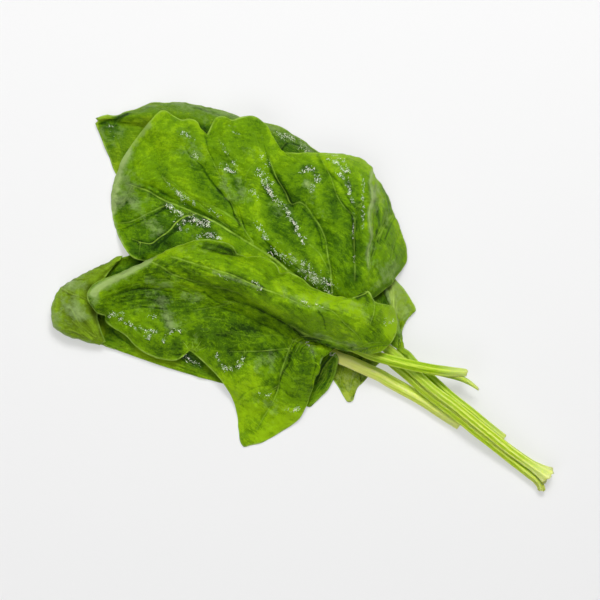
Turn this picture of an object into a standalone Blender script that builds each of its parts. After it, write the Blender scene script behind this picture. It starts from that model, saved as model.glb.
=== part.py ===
"""A handful of picked spinach: five leaves with their stems, laid over one another on a table.

Each leaf is a thin blade and a stem. A stem is the leaf stalk from its cut end to the blade, and it
runs on under the blade as the midrib. The leaves are laid in the order in which they lie, and each one
rests on those below it. Lengths are in millimetres until a mesh is made, which is in metres, +Z up.
"""

import math
from collections.abc import Callable
from dataclasses import dataclass

import bmesh
import bpy
import numpy as np

METRE = 0.001

# Driving dimensions
BLADE_THICKNESS = 0.7
CLEARANCE = 0.45
STEM_CLEARANCE = 0.45
BUNDLE_TURN = math.radians(36.0)

# How finely the solids are divided
ROWS = 38
COLUMNS_BETWEEN_LINES = 3
ROLL_ROWS = 7
FLAP_ROWS = 5
STEM_SIDES = 10
STEM_STEP = 4.0

# The height map that one leaf lies on
CELL = 1.5
MAP_LOW = np.array((-110.0, -90.0))
MAP_CELLS = (150, 124)
SOFTEN_CELLS = 3


def smooth_curve(points, shares):
    """Points on a smooth curve through the given ones, at shares of its length."""
    points = np.asarray(points, float)
    flat = points.reshape(len(points), -1)
    gaps = np.maximum(np.linalg.norm(np.diff(flat, axis=0), axis=1), 1e-9)
    return through(points, np.concatenate([[0.0], np.cumsum(gaps)]) / gaps.sum(), shares)


def through(points, knots, shares):
    """A cubic curve that passes each point at its knot, sampled at the shares."""
    points = np.asarray(points, float)
    wide = (slice(None),) + (None,) * (points.ndim - 1)
    slopes = np.diff(points, axis=0) / np.diff(knots)[wide]
    tangents = np.concatenate([slopes[:1], slopes, slopes[-1:]])
    weights = np.concatenate([[1.0], np.diff(knots), [1.0]])
    before, after = weights[:-1][wide], weights[1:][wide]
    tangents = (tangents[:-1] * after + tangents[1:] * before) / (before + after)
    shares = np.clip(np.asarray(shares, float), 0.0, 1.0)
    at = np.clip(np.searchsorted(knots, shares, side="right") - 1, 0, len(knots) - 2)
    span = (knots[at + 1] - knots[at])[wide]
    t = ((shares - knots[at]) / (knots[at + 1] - knots[at]))[wide]
    return (
        (2 * t**3 - 3 * t**2 + 1) * points[at]
        + (t**3 - 2 * t**2 + t) * span * tangents[at]
        + (3 * t**2 - 2 * t**3) * points[at + 1]
        + (t**3 - t**2) * span * tangents[at + 1]
    )


def evenly(count):
    return np.linspace(0.0, 1.0, count)


def long_line(points, rise=None, ease=1.0, even=0.15, rows=ROWS):
    """A line along the leaf, from its base to its tip. rise gives heights at even shares of the line,
    and points that hold their own heights need none."""
    u = evenly(rows + 1)
    shares = even * u + (1 - even) * u**ease
    flat = smooth_curve(points, shares)
    if rise is None:
        return flat
    heights = through(np.array(rise, float), evenly(len(rise)), shares)
    return np.column_stack([flat, heights])


def between(first, second, share, lift):
    """A line part of the way from the first to the second, lifted by lift where the leaf is widest."""
    line = first + (second - first) * share
    line[:, 2] += lift * np.sin(math.pi * evenly(len(line))) ** 0.6
    return line


def rolled_over(line, outermost, free_edge, radius, lift):
    """The line carried up round a roll that reaches outermost, and back over itself to the free edge."""
    outward = np.array(outermost, float) - free_edge
    outward /= np.linalg.norm(outward)
    foot = line[-1]
    turned = []
    for angle in np.linspace(0.0, math.pi, ROLL_ROWS + 1)[1:]:
        out = outward * radius * math.sin(angle)
        turned.append((foot[0] + out[0], foot[1] + out[1], foot[2] + radius * (1 - math.cos(angle))))
    top = np.array(turned[-1])
    end = np.array((*free_edge, top[2] + lift))
    for share in evenly(FLAP_ROWS + 1)[1:]:
        arch = (0, 0, 0.6 * radius * math.sin(math.pi * share) * (1 - share))
        turned.append(top + (end - top) * share + arch)
    return np.concatenate([line, turned])


def loft(lines):
    """The grid of points of a sheet through the lines, from one margin to the other."""
    across = evenly((len(lines) - 1) * COLUMNS_BETWEEN_LINES + 1)
    grid = through(np.array(lines), evenly(len(lines)), across)
    return np.swapaxes(grid, 0, 1)


def sheet_normals(grid):
    along = np.gradient(grid, axis=0)
    across = np.gradient(grid, axis=1)
    normal = np.cross(across, along)
    return normal / np.maximum(np.linalg.norm(normal, axis=2), 1e-9)[..., None]


def puckered(grid, rib_share, veins, depth, ripple, phase):
    """The sheet with soft pads between the side veins, and a ripple that grows towards the margins."""
    u = evenly(grid.shape[0])[:, None]
    v = evenly(grid.shape[1])[None, :]
    side = np.where(v < rib_share, (rib_share - v) / rib_share, (v - rib_share) / (1 - rib_share))
    pads = np.abs(np.sin(math.pi * (veins * u + phase))) * np.sin(math.pi * side) ** 0.8
    waves = np.sin(2 * math.pi * (veins * 0.8 * u + phase) + 3 * v) * side**3
    ends = np.minimum(1.0, np.minimum(u, 1 - u) * 8)
    amount = ends * (depth * pads + ripple * waves)
    return grid + sheet_normals(grid) * amount[..., None]


def finer(grid, times=4):
    """Points inside each facet of a sheet, as one list."""
    t = np.linspace(0.0, 1.0, times, endpoint=False)
    a, b, c, d = grid[:-1, :-1], grid[1:, :-1], grid[1:, 1:], grid[:-1, 1:]
    found = []
    for p in t:
        for q in t:
            if p + q <= 1:
                found.append(a + (b - a) * p + (d - a) * q)
            else:
                found.append(c + (d - c) * (1 - p) + (b - c) * (1 - q))
    return np.concatenate([x.reshape(-1, 3) for x in found])


class HeightMap:
    """The top of what has been laid down so far."""

    def __init__(self):
        self.top = np.zeros(MAP_CELLS)

    def add(self, points):
        cells = np.floor((points[:, :2] - MAP_LOW) / CELL).astype(int)
        np.maximum.at(self.top, (cells[:, 0], cells[:, 1]), points[:, 2])

    def support(self):
        """A soft cover over the top that is nowhere lower than it."""
        reach = range(-SOFTEN_CELLS, SOFTEN_CELLS + 1)
        nearer = range(1 - SOFTEN_CELLS, SOFTEN_CELLS)
        cover = self.top
        for axis in (0, 1):
            cover = np.max([np.roll(cover, k, axis) for k in reach], axis=0)
        for axis in (0, 1):
            cover = np.mean([np.roll(cover, k, axis) for k in nearer], axis=0)
        return cover

    def height(self, cover, points):
        place = (points[..., :2] - MAP_LOW) / CELL - 0.5
        low = np.clip(np.floor(place).astype(int), 0, np.array(MAP_CELLS) - 2)
        t = np.clip(place - low, 0.0, 1.0)
        i, j = low[..., 0], low[..., 1]
        near = cover[i, j] * (1 - t[..., 0]) + cover[i + 1, j] * t[..., 0]
        far = cover[i, j + 1] * (1 - t[..., 0]) + cover[i + 1, j + 1] * t[..., 0]
        return near * (1 - t[..., 1]) + far * t[..., 1]


def laid_on(grid, pile):
    """The sheet laid on the pile: each point is lifted by the soft height of what lies under it."""
    lifted = grid.copy()
    covered = pile.height(pile.support(), grid)
    lifted[..., 2] += covered + CLEARANCE * np.clip(covered, 0.0, 1.0)
    return lifted


# The blades, from the lowest to the uppermost. X runs to the right and Y away, seen from above.


def under_blade():
    """The smallest leaf lies face down on the table under the others. One lobe of its base shows."""
    flat = BLADE_THICKNESS / 2
    lobed = long_line(
        [(30, -23.2, 2.2), (32.2, -24.4, 1.4), (30.4, -26.4, 0.8), (28.4, -28.8, flat),
         (26.8, -31.2, flat), (24.8, -33.4, flat), (23.2, -34.8, flat), (21.8, -38, 0.8),
         (21, -40.4, 1.0), (19.2, -40.8, 0.6), (17.6, -38.8, flat), (15.4, -35, flat),
         (12.5, -31, flat), (2, -20, flat), (-14, -12, flat), (-30, -2, flat), (-36, 10, flat)],
    )
    rib = long_line(
        [(29.5, -22), (16, -14), (0, -6), (-20, 4), (-36.5, 12)],
        rise=(2.4, flat, flat, flat, flat),
        ease=1.8,
    )
    hidden = long_line(
        [(30.4, -21), (30, -12), (20, 0), (4, 10), (-16, 18), (-30, 18), (-36, 14)],
        rise=(2.4, 3.0, 2.0, 1.5, 1.2, flat),
    )
    return loft([lobed, between(lobed, rib, 0.5, 0.0), rib, between(rib, hidden, 0.5, 1.0), hidden])


def rolled_blade():
    """The leaf at the left: its whole end is turned up and back over itself."""
    flat_rows = ROWS - ROLL_ROWS - FLAP_ROWS
    lower = long_line(
        [(10.6, -21.4, 5.0), (13.6, -20.8, 5.4), (15.2, -23, 6.2), (14.9, -26, 5.2),
         (14.4, -29, 2.6), (13.4, -32.4, 0.8), (11.6, -36, 0.8), (8.4, -39.6, 0.6), (3, -42.4, 0.6),
         (-6, -39, 0.8), (-18, -36, 1.0), (-31, -33.2, 1.0), (-44, -29.4, 1.0), (-60, -24.2, 1.2),
         (-72, -20, 1.6), (-78.6, -17.3, 2.2)],
        rows=flat_rows,
        even=0.1,
        ease=1.25,
    )
    south = long_line(
        [(9.8, -22), (-6, -28), (-28, -27), (-50, -22), (-70, -17), (-84, -14), (-92.5, -12.6)],
        rise=(5, 4, 3.2, 2.6, 2.2, 1.6, 1.0),
        rows=flat_rows,
        ease=1.2,
    )
    rib = long_line(
        [(10.4, -20.8), (-4, -20), (-24, -18), (-48, -14), (-72, -9.6), (-86, -6.8), (-94.6, -5.8)],
        rise=(5.2, 4.8, 4.2, 3.6, 3.0, 2.2, 1.0),
        rows=flat_rows,
        ease=1.3,
    )
    middle = long_line(
        [(11, -19.4), (-4, -14), (-24, -8), (-44, -1), (-66, 3), (-82, 3.4), (-92.2, 2.8)],
        rise=(5, 4, 3.4, 2.8, 2.4, 1.6, 1.0),
        rows=flat_rows,
        ease=1.2,
    )
    fold = long_line(
        [(12, -18), (-4, -9), (-24, 1), (-44, 8), (-60, 11.8), (-72, 12.4), (-82.2, 10.8)],
        rise=(5, 4, 3, 2.4, 2, 1.6, 1.0),
        rows=flat_rows,
        ease=1.1,
    )
    rim = long_line(
        [(13, -17), (-4, -6), (-24, 5), (-44, 13), (-58, 16.4), (-65, 16.4), (-70.4, 15.6)],
        rise=(5, 5, 4, 3.6, 3.4, 3.2, 3.0),
        rows=flat_rows,
        ease=1.1,
    )
    return loft([
        rolled_over(lower, (-80.2, -17.7), (-77.4, -16.6), 1.5, 0.6),
        rolled_over(south, (-96, -12.8), (-79, -12.4), 3.6, -1.0),
        rolled_over(rib, (-99.6, -5.6), (-80.4, -6.4), 4.8, -1.6),
        rolled_over(middle, (-97.2, 3.2), (-80, 1.2), 4.6, -1.2),
        rolled_over(fold, (-86, 12.2), (-78, 9), 3.4, -0.4),
        rolled_over(rim, (-71.4, 16.8), (-71.8, 15.2), 0.8, 0.3),
    ])


def back_blade():
    """The largest leaf, at the back: its tip is at the left, and a base lobe shows at the right."""
    far = long_line(
        [(41.6, -18), (40.8, -14), (42, -9.6), (44.4, -6), (46, -4.4), (44.4, 0), (41.2, 4.8),
         (38, 8.4), (34.8, 20), (28.8, 35.2), (18.8, 49.6), (6, 58.8), (-2, 64.8), (-10, 69.2),
         (-20, 72.4), (-32, 76), (-40, 77.6), (-48, 79.2), (-54, 79.6), (-60, 78.8), (-66, 76.8),
         (-72, 74.8), (-78.4, 73.2), (-81.2, 72.4)],
        rise=(2.4, 2.0, 1.2, 0.6, 0.4, 0.4, 0.4, 0.4, 3.0),
    )
    shoulder = long_line(
        [(41.2, -18.2), (38, -6), (34, 6), (29, 20), (22, 34), (10, 48), (-4, 58), (-20, 66),
         (-38, 71.5), (-54, 74), (-68, 73.5), (-80.9, 71.9)],
        rise=(2.4, 3.4, 6, 7, 7, 8, 8, 7, 2.5),
        ease=1.3,
    )
    rib = long_line(
        [(40.8, -18.8), (35.2, -2), (20.8, 16.8), (0, 35.2), (-24, 52), (-48, 63.6), (-68, 69.6),
         (-80.8, 71.4)],
        rise=(2.6, 4.8, 4.4, 3.4, 2.8, 2.4, 2.0),
        ease=1.8,
    )
    near = long_line(
        [(40.2, -19), (38, -16), (32, -13.6), (16, -7.2), (-8, 4), (-32, 16.8), (-52, 31.2),
         (-67.2, 43.2), (-73.6, 51.2), (-76, 58), (-78.8, 64.8), (-81.2, 70.6)],
        rise=(2.8, 3.8, 1.8, 0.8, 0.6, 0.4, 0.4, 1.5),
    )
    nearer_half = between(near, rib, 0.5, 3.0)
    farther_half = between(rib, shoulder, 0.5, 1.0)
    return loft([near, nearer_half, rib, farther_half, shoulder, far])


def broad_blade():
    """The broad leaf in the middle, with a lobed far edge. Its right side bends down over a shoulder."""
    lobed = long_line(
        [(20.8, -2.4), (28.8, 0.8), (34.4, 4.8), (39.2, 10), (42.4, 15.2), (42.8, 19.2),
         (41.2, 25.2), (38.8, 32), (36, 39.2), (33.2, 45.6), (30.8, 48.8), (28.8, 50.4),
         (25.6, 53.2), (20.8, 56.4), (16, 58.4), (10, 59.2), (3.2, 58.8), (-2, 58.4), (-7.6, 58.8),
         (-10, 60.8), (-11.6, 64.8), (-12.4, 68.4), (-15.2, 71.2), (-18.8, 73.2), (-22.8, 72.8),
         (-27.2, 71.6), (-30.4, 72.8), (-33.2, 72.4), (-35.6, 68.4), (-37.6, 65.2), (-38.8, 67.6),
         (-40.8, 70.8), (-44, 72), (-47.2, 71.6), (-50.8, 73.6), (-54.8, 75.2), (-58, 72),
         (-61.6, 67.2), (-66, 61.2), (-70.4, 55.6), (-73.2, 51.4), (-74.6, 48)],
        rise=(4, 0.5, 0.5, 1.0, 3, 2.5, 2, 1.5, 1.5, 1.5, 1.5, 1.0),
    )
    shoulder = long_line(
        [(20, -2.6), (24.8, 0.5), (27.4, 6), (28.4, 16), (28.2, 26), (28.4, 38), (28.2, 47),
         (22, 52), (12, 53.5), (0, 52), (-12, 55), (-22, 61), (-32, 61), (-42, 62), (-52, 65),
         (-59, 60), (-67, 52.6), (-75.2, 45)],
        rise=(5, 8, 9, 9, 7, 5, 4, 4, 4, 3.5, 2.5),
        ease=1.15,
    )
    rib = long_line(
        [(18, -3.2), (7.2, 3.6), (-3.6, 10.8), (-10.4, 16.4), (-18.8, 22.8), (-36, 32),
         (-55.6, 39.4), (-68, 42), (-75.4, 42)],
        rise=(5.5, 4.5, 3.5, 3.0, 2.6, 2.2, 2.0),
        ease=2.6,
    )
    near = long_line(
        [(15.2, -4.4), (4, -5), (-12, -1), (-28, 6), (-44, 11.2), (-58, 15.2), (-66.8, 17.6),
         (-70, 22.8), (-72.6, 28), (-74.2, 33), (-75.2, 37)],
        rise=(5, 2, 1.5, 1.5, 1.0, 0.6, 0.5, 0.5),
    )
    nearer_half = between(near, rib, 0.5, 4.0)
    farther_half = between(rib, shoulder, 0.5, 3.0)
    return loft([near, nearer_half, rib, farther_half, shoulder, lobed])


def front_blade():
    """The uppermost leaf: one half has a long lobe at the near side, and the other rolls over it."""
    near = long_line(
        [(13.2, -19.6), (8.4, -22.4), (7.2, -28), (4.4, -36.4), (2, -42.4), (-0.8, -46.4),
         (-8.4, -52), (-15.2, -56), (-22.4, -57.6), (-24, -53.6), (-24.8, -45.2), (-30, -34),
         (-36.8, -26.4), (-41.2, -22.4), (-44, -20.4), (-46.4, -22.4), (-49.2, -24), (-55.6, -23.6),
         (-61.6, -21.2), (-66, -18), (-69.2, -14.4), (-76, -9.8), (-77.4, -8.4), (-77.2, -6.6),
         (-80, -5.4), (-81.8, -3.4), (-82.8, -2)],
        rise=(5, 2.5, 1.0, 0.5, 0.6, 1.5, 2, 1.5, 1.5, 2),
    )
    middle = long_line(
        [(13.6, -19.4), (4, -23), (-4, -29), (-14, -33), (-22, -28), (-32, -17), (-45, -11),
         (-60, -7.6), (-72, -4.0), (-83.8, -0.4)],
        rise=(5.5, 5, 4, 4, 4, 3.5, 4.0, 4.4, 3.0),
        ease=1.4,
    )
    rib = long_line(
        [(14.4, -18.8), (4, -13.6), (-4, -8.0), (-14, -3.4), (-28, 0.2), (-44, 2.4), (-60, 3.0),
         (-74, 2.4), (-84.3, 1.0)],
        rise=(5.6, 5, 4.2, 4.0, 4.8, 5.4, 3.4),
        ease=1.8,
    )
    hem = long_line(
        [(15.6, -18.6), (20, -20), (11.6, -17.6), (3, -15.0), (-3, -10.4), (-11, -5.5), (-24, 2.6),
         (-40, 8.0), (-58, 8.8), (-73, 6.4), (-84.2, 2.4)],
        rise=(6.5, 9, 10, 10, 8.5, 7.0, 6.4, 5.8, 3.6),
        ease=1.5,
    )
    crest = long_line(
        [(17.2, -18.6), (26, -18), (24, -13), (14, -6.0), (7.6, -4), (-4, 1.5), (-13.6, 5.6),
         (-24, 10.4), (-36, 15.4), (-46.4, 16.8), (-60, 13.0), (-72, 9.2), (-83.6, 3.9)],
        rise=(7, 12, 14, 14, 12, 9, 7, 5.5, 3.6),
        ease=1.2,
    )
    far = long_line(
        [(18.8, -19), (28.8, -21.2), (33.2, -19.6), (36.8, -15.6), (38.4, -7.2), (37.2, -3.2),
         (29.2, -0.4), (26.8, 3.6), (21.2, 0.8), (8.8, 3.2), (4.8, 4.8), (1.6, 8), (-3.6, 10.4),
         (-8, 10.8), (-8.8, 12.8), (-13.2, 16.4), (-24.4, 18.4), (-26.4, 21.2), (-31.6, 23.2),
         (-38, 24), (-44, 22), (-54, 18.4), (-60.8, 15.2), (-68, 12.4), (-76, 9.0), (-80.4, 7.2),
         (-82.6, 5.4)],
        rise=(7.5, 6, 7, 8, 5, 3, 2, 1.5, 1.0, 1.4),
    )
    return loft([near, middle, rib, hem, crest, far])


@dataclass
class Leaf:
    """How one leaf is made. Its stalk runs through points that hold their height above the table."""

    name: str
    blade: Callable
    rib_line: int
    side_veins: int
    pad_depth: float
    edge_ripple: float
    vein_phase: float
    face_up: bool
    rib_reach: float
    stem_radius: float
    stalk: list
    end_flare: float = 1.0


LEAVES = [
    Leaf(
        "under", under_blade, rib_line=2, side_veins=4, pad_depth=0.0, edge_ripple=0.0, vein_phase=0.2,
        face_up=False, rib_reach=0.75, stem_radius=1.5, end_flare=0.8,
        stalk=[(33.5, -23.2, 4.6), (38, -26.4, 5.4), (42.2, -29.8, 6.1), (46, -33.2, 6.3),
               (52, -38.5, 6.3), (58, -43.2, 6.3), (64, -47.8, 6.3), (68, -51, 5.9),
               (76, -57.2, 4.6), (84, -63.6, 3.2), (91, -69.2, 2.2), (94.6, -72.4, 1.9),
               (96.6, -74.6, 1.7), (97.6, -76.6, 1.6)],
    ),
    Leaf(
        "rolled", rolled_blade, rib_line=2, side_veins=5, pad_depth=0.8, edge_ripple=0.2, vein_phase=0.1,
        face_up=True, rib_reach=0.55, stem_radius=2.15,
        stalk=[(15.4, -23, 5.9), (20, -24.9, 5.4), (24, -26.8, 5.0), (28, -28.7, 4.5),
               (32, -30.5, 3.5), (36, -32.7, 2.7), (40, -34.8, 2.35), (48, -39, 2.35),
               (56, -44.2, 2.35), (64, -49.4, 2.35)],
    ),
    Leaf(
        "back", back_blade, rib_line=2, side_veins=6, pad_depth=1.2, edge_ripple=0.6, vein_phase=0.3,
        face_up=True, rib_reach=0.8, stem_radius=1.85,
        stalk=[(43, -22, 4.0), (45.7, -25.2, 4.2), (52.9, -31.6, 4.4), (60.2, -38.3, 4.2),
               (68.2, -44.7, 3.4), (76.2, -51.3, 2.8), (81.2, -55.2, 2.4)],
    ),
    Leaf(
        "broad", broad_blade, rib_line=2, side_veins=7, pad_depth=1.5, edge_ripple=0.8, vein_phase=0.0,
        face_up=True, rib_reach=0.85, stem_radius=2.0, end_flare=1.3,
        stalk=[(26, -9.6, 12.6), (33, -15.4, 10.8), (38, -20.2, 9.9), (44, -26.8, 9.4),
               (48, -31, 9.3), (52, -34.9, 9.3), (60, -41, 9.3), (68, -47.5, 8.9), (76, -53.9, 7.7),
               (84, -60.1, 6.4), (92, -65.6, 5.3), (99.2, -69.5, 4.9)],
    ),
    Leaf(
        "front", front_blade, rib_line=2, side_veins=6, pad_depth=1.2, edge_ripple=0.6, vein_phase=0.4,
        face_up=True, rib_reach=0.8, stem_radius=2.15, end_flare=0.66,
        stalk=[(20, -18.4, 13.6), (28, -21.5, 13.7), (36, -23.9, 14.0), (44, -25.9, 14.0),
               (52, -27.5, 13.6), (60, -28.6, 12.4), (67.4, -29.1, 11.2)],
    ),
]
RIB_TIP_RADIUS = 0.5
SHARE_AT_BASE = 0.85
RINGS_TO_FULL = 3
END_LENGTH = 8.0
RUN_POINTS = 240

# The front leaf's stalk is torn at its end: a thin strip of it stands off below the rest
STRIP_ROUTE = [(55, -28.8, 12.6), (60, -29.8, 12.0), (64, -31.3, 11.3), (67.6, -33.3, 10.7),
               (70.6, -35.2, 10.3)]
STRIP_STEPS = 7
STRIP_RADII = (0.9, 1.15, 1.1, 0.85, 0.55)


def walked_along(points):
    """How far each point is along the line through them, from the first."""
    return np.concatenate([[0.0], np.cumsum(np.linalg.norm(np.diff(points, axis=0), axis=1))])


def sampled(at, known, points):
    return np.column_stack([np.interp(at, known, points[:, k]) for k in range(3)])


def stem_path(leaf, grid):
    """Centres and radii of a stem, from the midrib's far end to the cut end of the stalk."""
    rib_column = leaf.rib_line * COLUMNS_BETWEEN_LINES
    rib = grid[:, rib_column]
    normal = sheet_normals(grid)[:, rib_column] * (1 if leaf.face_up else -1)
    walked = walked_along(rib)
    at = np.linspace(leaf.rib_reach, 0.0, max(4, int(leaf.rib_reach * walked[-1] / STEM_STEP)) + 1)
    shares = walked / walked[-1]
    at_base = leaf.stem_radius * SHARE_AT_BASE
    thick = RIB_TIP_RADIUS + (at_base - RIB_TIP_RADIUS) * (1 - at / leaf.rib_reach) ** 0.8
    out = sampled(at, shares, normal) * (thick + BLADE_THICKNESS / 2 + STEM_CLEARANCE)[:, None]
    under = sampled(at, shares, rib) - out
    run = smooth_curve(np.concatenate([under, leaf.stalk]), evenly(RUN_POINTS))
    walked = walked_along(run)
    base = walked[np.argmin(np.linalg.norm(run - under[-1], axis=1))]
    steps = int((walked[-1] - base) / STEM_STEP)
    outer_at = np.linspace(base, walked[-1], steps + 1)[1:]
    filled = np.minimum(1.0, np.arange(1, steps + 1) / RINGS_TO_FULL)
    grown = leaf.stem_radius * (SHARE_AT_BASE + (1 - SHARE_AT_BASE) * filled)
    from_end = np.clip((walked[-1] - outer_at) / END_LENGTH, 0.0, 1.0)
    grown *= leaf.end_flare + (1 - leaf.end_flare) * from_end**0.6
    return np.concatenate([under, sampled(outer_at, walked, run)]), np.concatenate([thick, grown])


def tube_rings(centres, radii, sides, ridges=5, depth=0.05):
    """The rings of a ridged stem round its centres."""
    along = np.gradient(centres, axis=0)
    along /= np.linalg.norm(along, axis=1)[:, None]
    aside = np.cross(along, (0.0, 0.0, 1.0))
    aside /= np.linalg.norm(aside, axis=1)[:, None]
    up = np.cross(aside, along)
    from_top = 2 * math.pi * np.arange(sides) / sides
    angle = math.pi / 2 + from_top
    shape = 1 - depth * np.cos(ridges * from_top)
    ring = np.cos(angle) * shape, np.sin(angle) * shape
    return centres[:, None] + radii[:, None, None] * (
        aside[:, None] * ring[0][None, :, None] + up[:, None] * ring[1][None, :, None]
    )


def laid_leaves():
    """Each leaf with its blade's grid and its stem's centres and radii, laid on those before it."""
    pile = HeightMap()
    for leaf in LEAVES:
        flat = leaf.blade()
        rib_share = leaf.rib_line * COLUMNS_BETWEEN_LINES / (flat.shape[1] - 1)
        grid = puckered(
            flat, rib_share, leaf.side_veins, leaf.pad_depth, leaf.edge_ripple, leaf.vein_phase
        )
        grid[..., 2] = np.maximum(grid[..., 2], BLADE_THICKNESS / 2)
        grid = laid_on(grid, pile)
        centres, radii = stem_path(leaf, grid)
        pile.add(finer(grid) + (0, 0, BLADE_THICKNESS / 2))
        pile.add(finer(tube_rings(centres, radii, STEM_SIDES)))
        yield leaf, grid, centres, radii


def blade_mesh(name, grid, base):
    """The closed slab round a sheet, with the same triangles on both faces."""
    rows, columns = grid.shape[:2]
    half = sheet_normals(grid) * BLADE_THICKNESS / 2
    corners = np.concatenate([(grid + half).reshape(-1, 3), (grid - half).reshape(-1, 3)])
    upper = np.arange(rows * columns).reshape(rows, columns)
    lower = upper + rows * columns
    faces = []
    for i in range(rows - 1):
        for j in range(columns - 1):
            a, b, c, d = (i, j), (i + 1, j), (i + 1, j + 1), (i, j + 1)
            for triangle in ((a, b, c), (a, c, d)):
                faces.append([upper[k] for k in triangle[::-1]])
                faces.append([lower[k] for k in triangle])
    rim = [(i, 0) for i in range(rows)]
    rim += [(rows - 1, j) for j in range(1, columns)]
    rim += [(i, columns - 1) for i in range(rows - 2, -1, -1)]
    rim += [(0, j) for j in range(columns - 2, 0, -1)]
    for first, second in zip(rim, rim[1:] + rim[:1]):
        a, b, c, d = upper[first], upper[second], lower[second], lower[first]
        faces += [(a, b, c), (a, c, d)]
    return closed_mesh(name, corners - base, faces)


def stem_mesh(name, centres, radii, base):
    rings = tube_rings(centres, radii, STEM_SIDES)
    count, sides = rings.shape[:2]
    index = np.arange(count * sides).reshape(count, sides)
    faces = [index[0].tolist(), index[-1][::-1].tolist()]
    for i in range(count - 1):
        for j in range(sides):
            k = (j + 1) % sides
            faces.append((index[i, j], index[i, k], index[i + 1, k], index[i + 1, j]))
    return closed_mesh(name, rings.reshape(-1, 3) - base, faces)


def closed_mesh(name, corners, faces):
    mesh = bpy.data.meshes.new(name)
    mesh.from_pydata((corners * METRE).tolist(), [], faces)
    bm = bmesh.new()
    bm.from_mesh(mesh)
    bmesh.ops.recalc_face_normals(bm, faces=bm.faces)
    bm.to_mesh(mesh)
    bm.free()
    mesh.shade_smooth()
    mesh.set_sharp_from_angle(angle=math.radians(50))
    return mesh


def plant_material(name, colour, roughness):
    material = bpy.data.materials.new(name)
    material.use_nodes = True
    surface = material.node_tree.nodes["Principled BSDF"]
    surface.inputs["Base Color"].default_value = (*colour, 1.0)
    surface.inputs["Roughness"].default_value = roughness
    surface.inputs["Metallic"].default_value = 0.0
    material.diffuse_color = (*colour, 1.0)
    return material


# Linear colours of each leaf's face and of its stem
BLADE_COLOURS = {
    "under": (0.15, 0.26, 0.06),
    "rolled": (0.10, 0.25, 0.03),
    "back": (0.05, 0.17, 0.01),
    "broad": (0.10, 0.30, 0.005),
    "front": (0.12, 0.33, 0.005),
}
STEM_COLOURS = {
    "under": (0.33, 0.52, 0.03),
    "rolled": (0.52, 0.68, 0.15),
    "back": (0.36, 0.56, 0.04),
    "broad": (0.38, 0.58, 0.04),
    "front": (0.36, 0.58, 0.02),
}
BLADE_ROUGHNESS = 0.32
STEM_ROUGHNESS = 0.38


def piece(mesh, material, parent, place):
    mesh.materials.append(material)
    obj = bpy.data.objects.new(mesh.name, mesh)
    obj.parent = parent
    obj.location = place
    bpy.context.scene.collection.objects.link(obj)
    return obj


def join_strip(stem, base):
    """The torn strip at the end of the front leaf's stalk, made one with the stalk."""
    route = smooth_curve(STRIP_ROUTE, evenly(STRIP_STEPS))
    radii = np.interp(evenly(STRIP_STEPS), evenly(len(STRIP_RADII)), STRIP_RADII)
    strip = bpy.data.objects.new("torn_strip", stem_mesh("torn_strip", route, radii, base))
    strip.parent = stem.parent
    strip.location = stem.location
    strip.hide_render = True
    strip.display_type = "WIRE"
    bpy.context.scene.collection.objects.link(strip)
    union = stem.modifiers.new("torn end", "BOOLEAN")
    union.operation = "UNION"
    union.solver = "EXACT"
    union.object = strip


def stand_on_origin(heap):
    """Moves the heap so that the middle of its underside is at the origin."""
    bpy.context.view_layer.update()
    depsgraph = bpy.context.evaluated_depsgraph_get()
    corners = []
    for obj in heap.children:
        if not obj.hide_render:
            evaluated = obj.evaluated_get(depsgraph)
            corners += [obj.matrix_world @ vertex.co for vertex in evaluated.data.vertices]
    corners = np.array(corners)
    low, high = corners.min(axis=0), corners.max(axis=0)
    heap.location = (-(low[0] + high[0]) / 2, -(low[1] + high[1]) / 2, -low[2])


def main():
    for obj in list(bpy.data.objects):
        bpy.data.objects.remove(obj)
    heap = bpy.data.objects.new("spinach", None)
    heap.rotation_euler = (0.0, 0.0, BUNDLE_TURN)
    bpy.context.scene.collection.objects.link(heap)
    for leaf, grid, centres, radii in laid_leaves():
        base = grid[0, leaf.rib_line * COLUMNS_BETWEEN_LINES]
        place = (base * METRE).tolist()
        blade = plant_material(leaf.name + "_blade", BLADE_COLOURS[leaf.name], BLADE_ROUGHNESS)
        flesh = plant_material(leaf.name + "_stem", STEM_COLOURS[leaf.name], STEM_ROUGHNESS)
        piece(blade_mesh(leaf.name + "_blade", grid, base), blade, heap, place)
        stem = piece(stem_mesh(leaf.name + "_stem", centres, radii, base), flesh, heap, place)
        if leaf.name == "front":
            join_strip(stem, base)
    stand_on_origin(heap)


main()
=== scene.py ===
import math

import bpy
import numpy as np
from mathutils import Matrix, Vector


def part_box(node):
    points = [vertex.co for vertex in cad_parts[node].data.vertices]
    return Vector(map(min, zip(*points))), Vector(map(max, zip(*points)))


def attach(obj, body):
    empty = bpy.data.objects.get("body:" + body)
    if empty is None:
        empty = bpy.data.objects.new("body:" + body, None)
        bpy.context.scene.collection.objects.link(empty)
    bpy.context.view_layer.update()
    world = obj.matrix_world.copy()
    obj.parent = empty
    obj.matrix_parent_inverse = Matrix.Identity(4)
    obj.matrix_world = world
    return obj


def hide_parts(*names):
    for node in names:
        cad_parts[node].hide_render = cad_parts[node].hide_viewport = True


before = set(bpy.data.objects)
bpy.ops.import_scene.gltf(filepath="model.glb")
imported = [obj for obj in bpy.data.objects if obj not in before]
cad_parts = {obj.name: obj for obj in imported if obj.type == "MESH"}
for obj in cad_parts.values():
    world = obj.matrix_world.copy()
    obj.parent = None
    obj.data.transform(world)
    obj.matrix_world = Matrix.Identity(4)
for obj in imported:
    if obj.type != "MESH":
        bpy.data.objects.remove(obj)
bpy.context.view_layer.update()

# The under leaf
# The smallest leaf: a thin soft blade that lies face down on the table, so its dull, pale underside is
# what shows, with the raised midrib along it. One lobe of its base looks out from under the heap.

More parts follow.
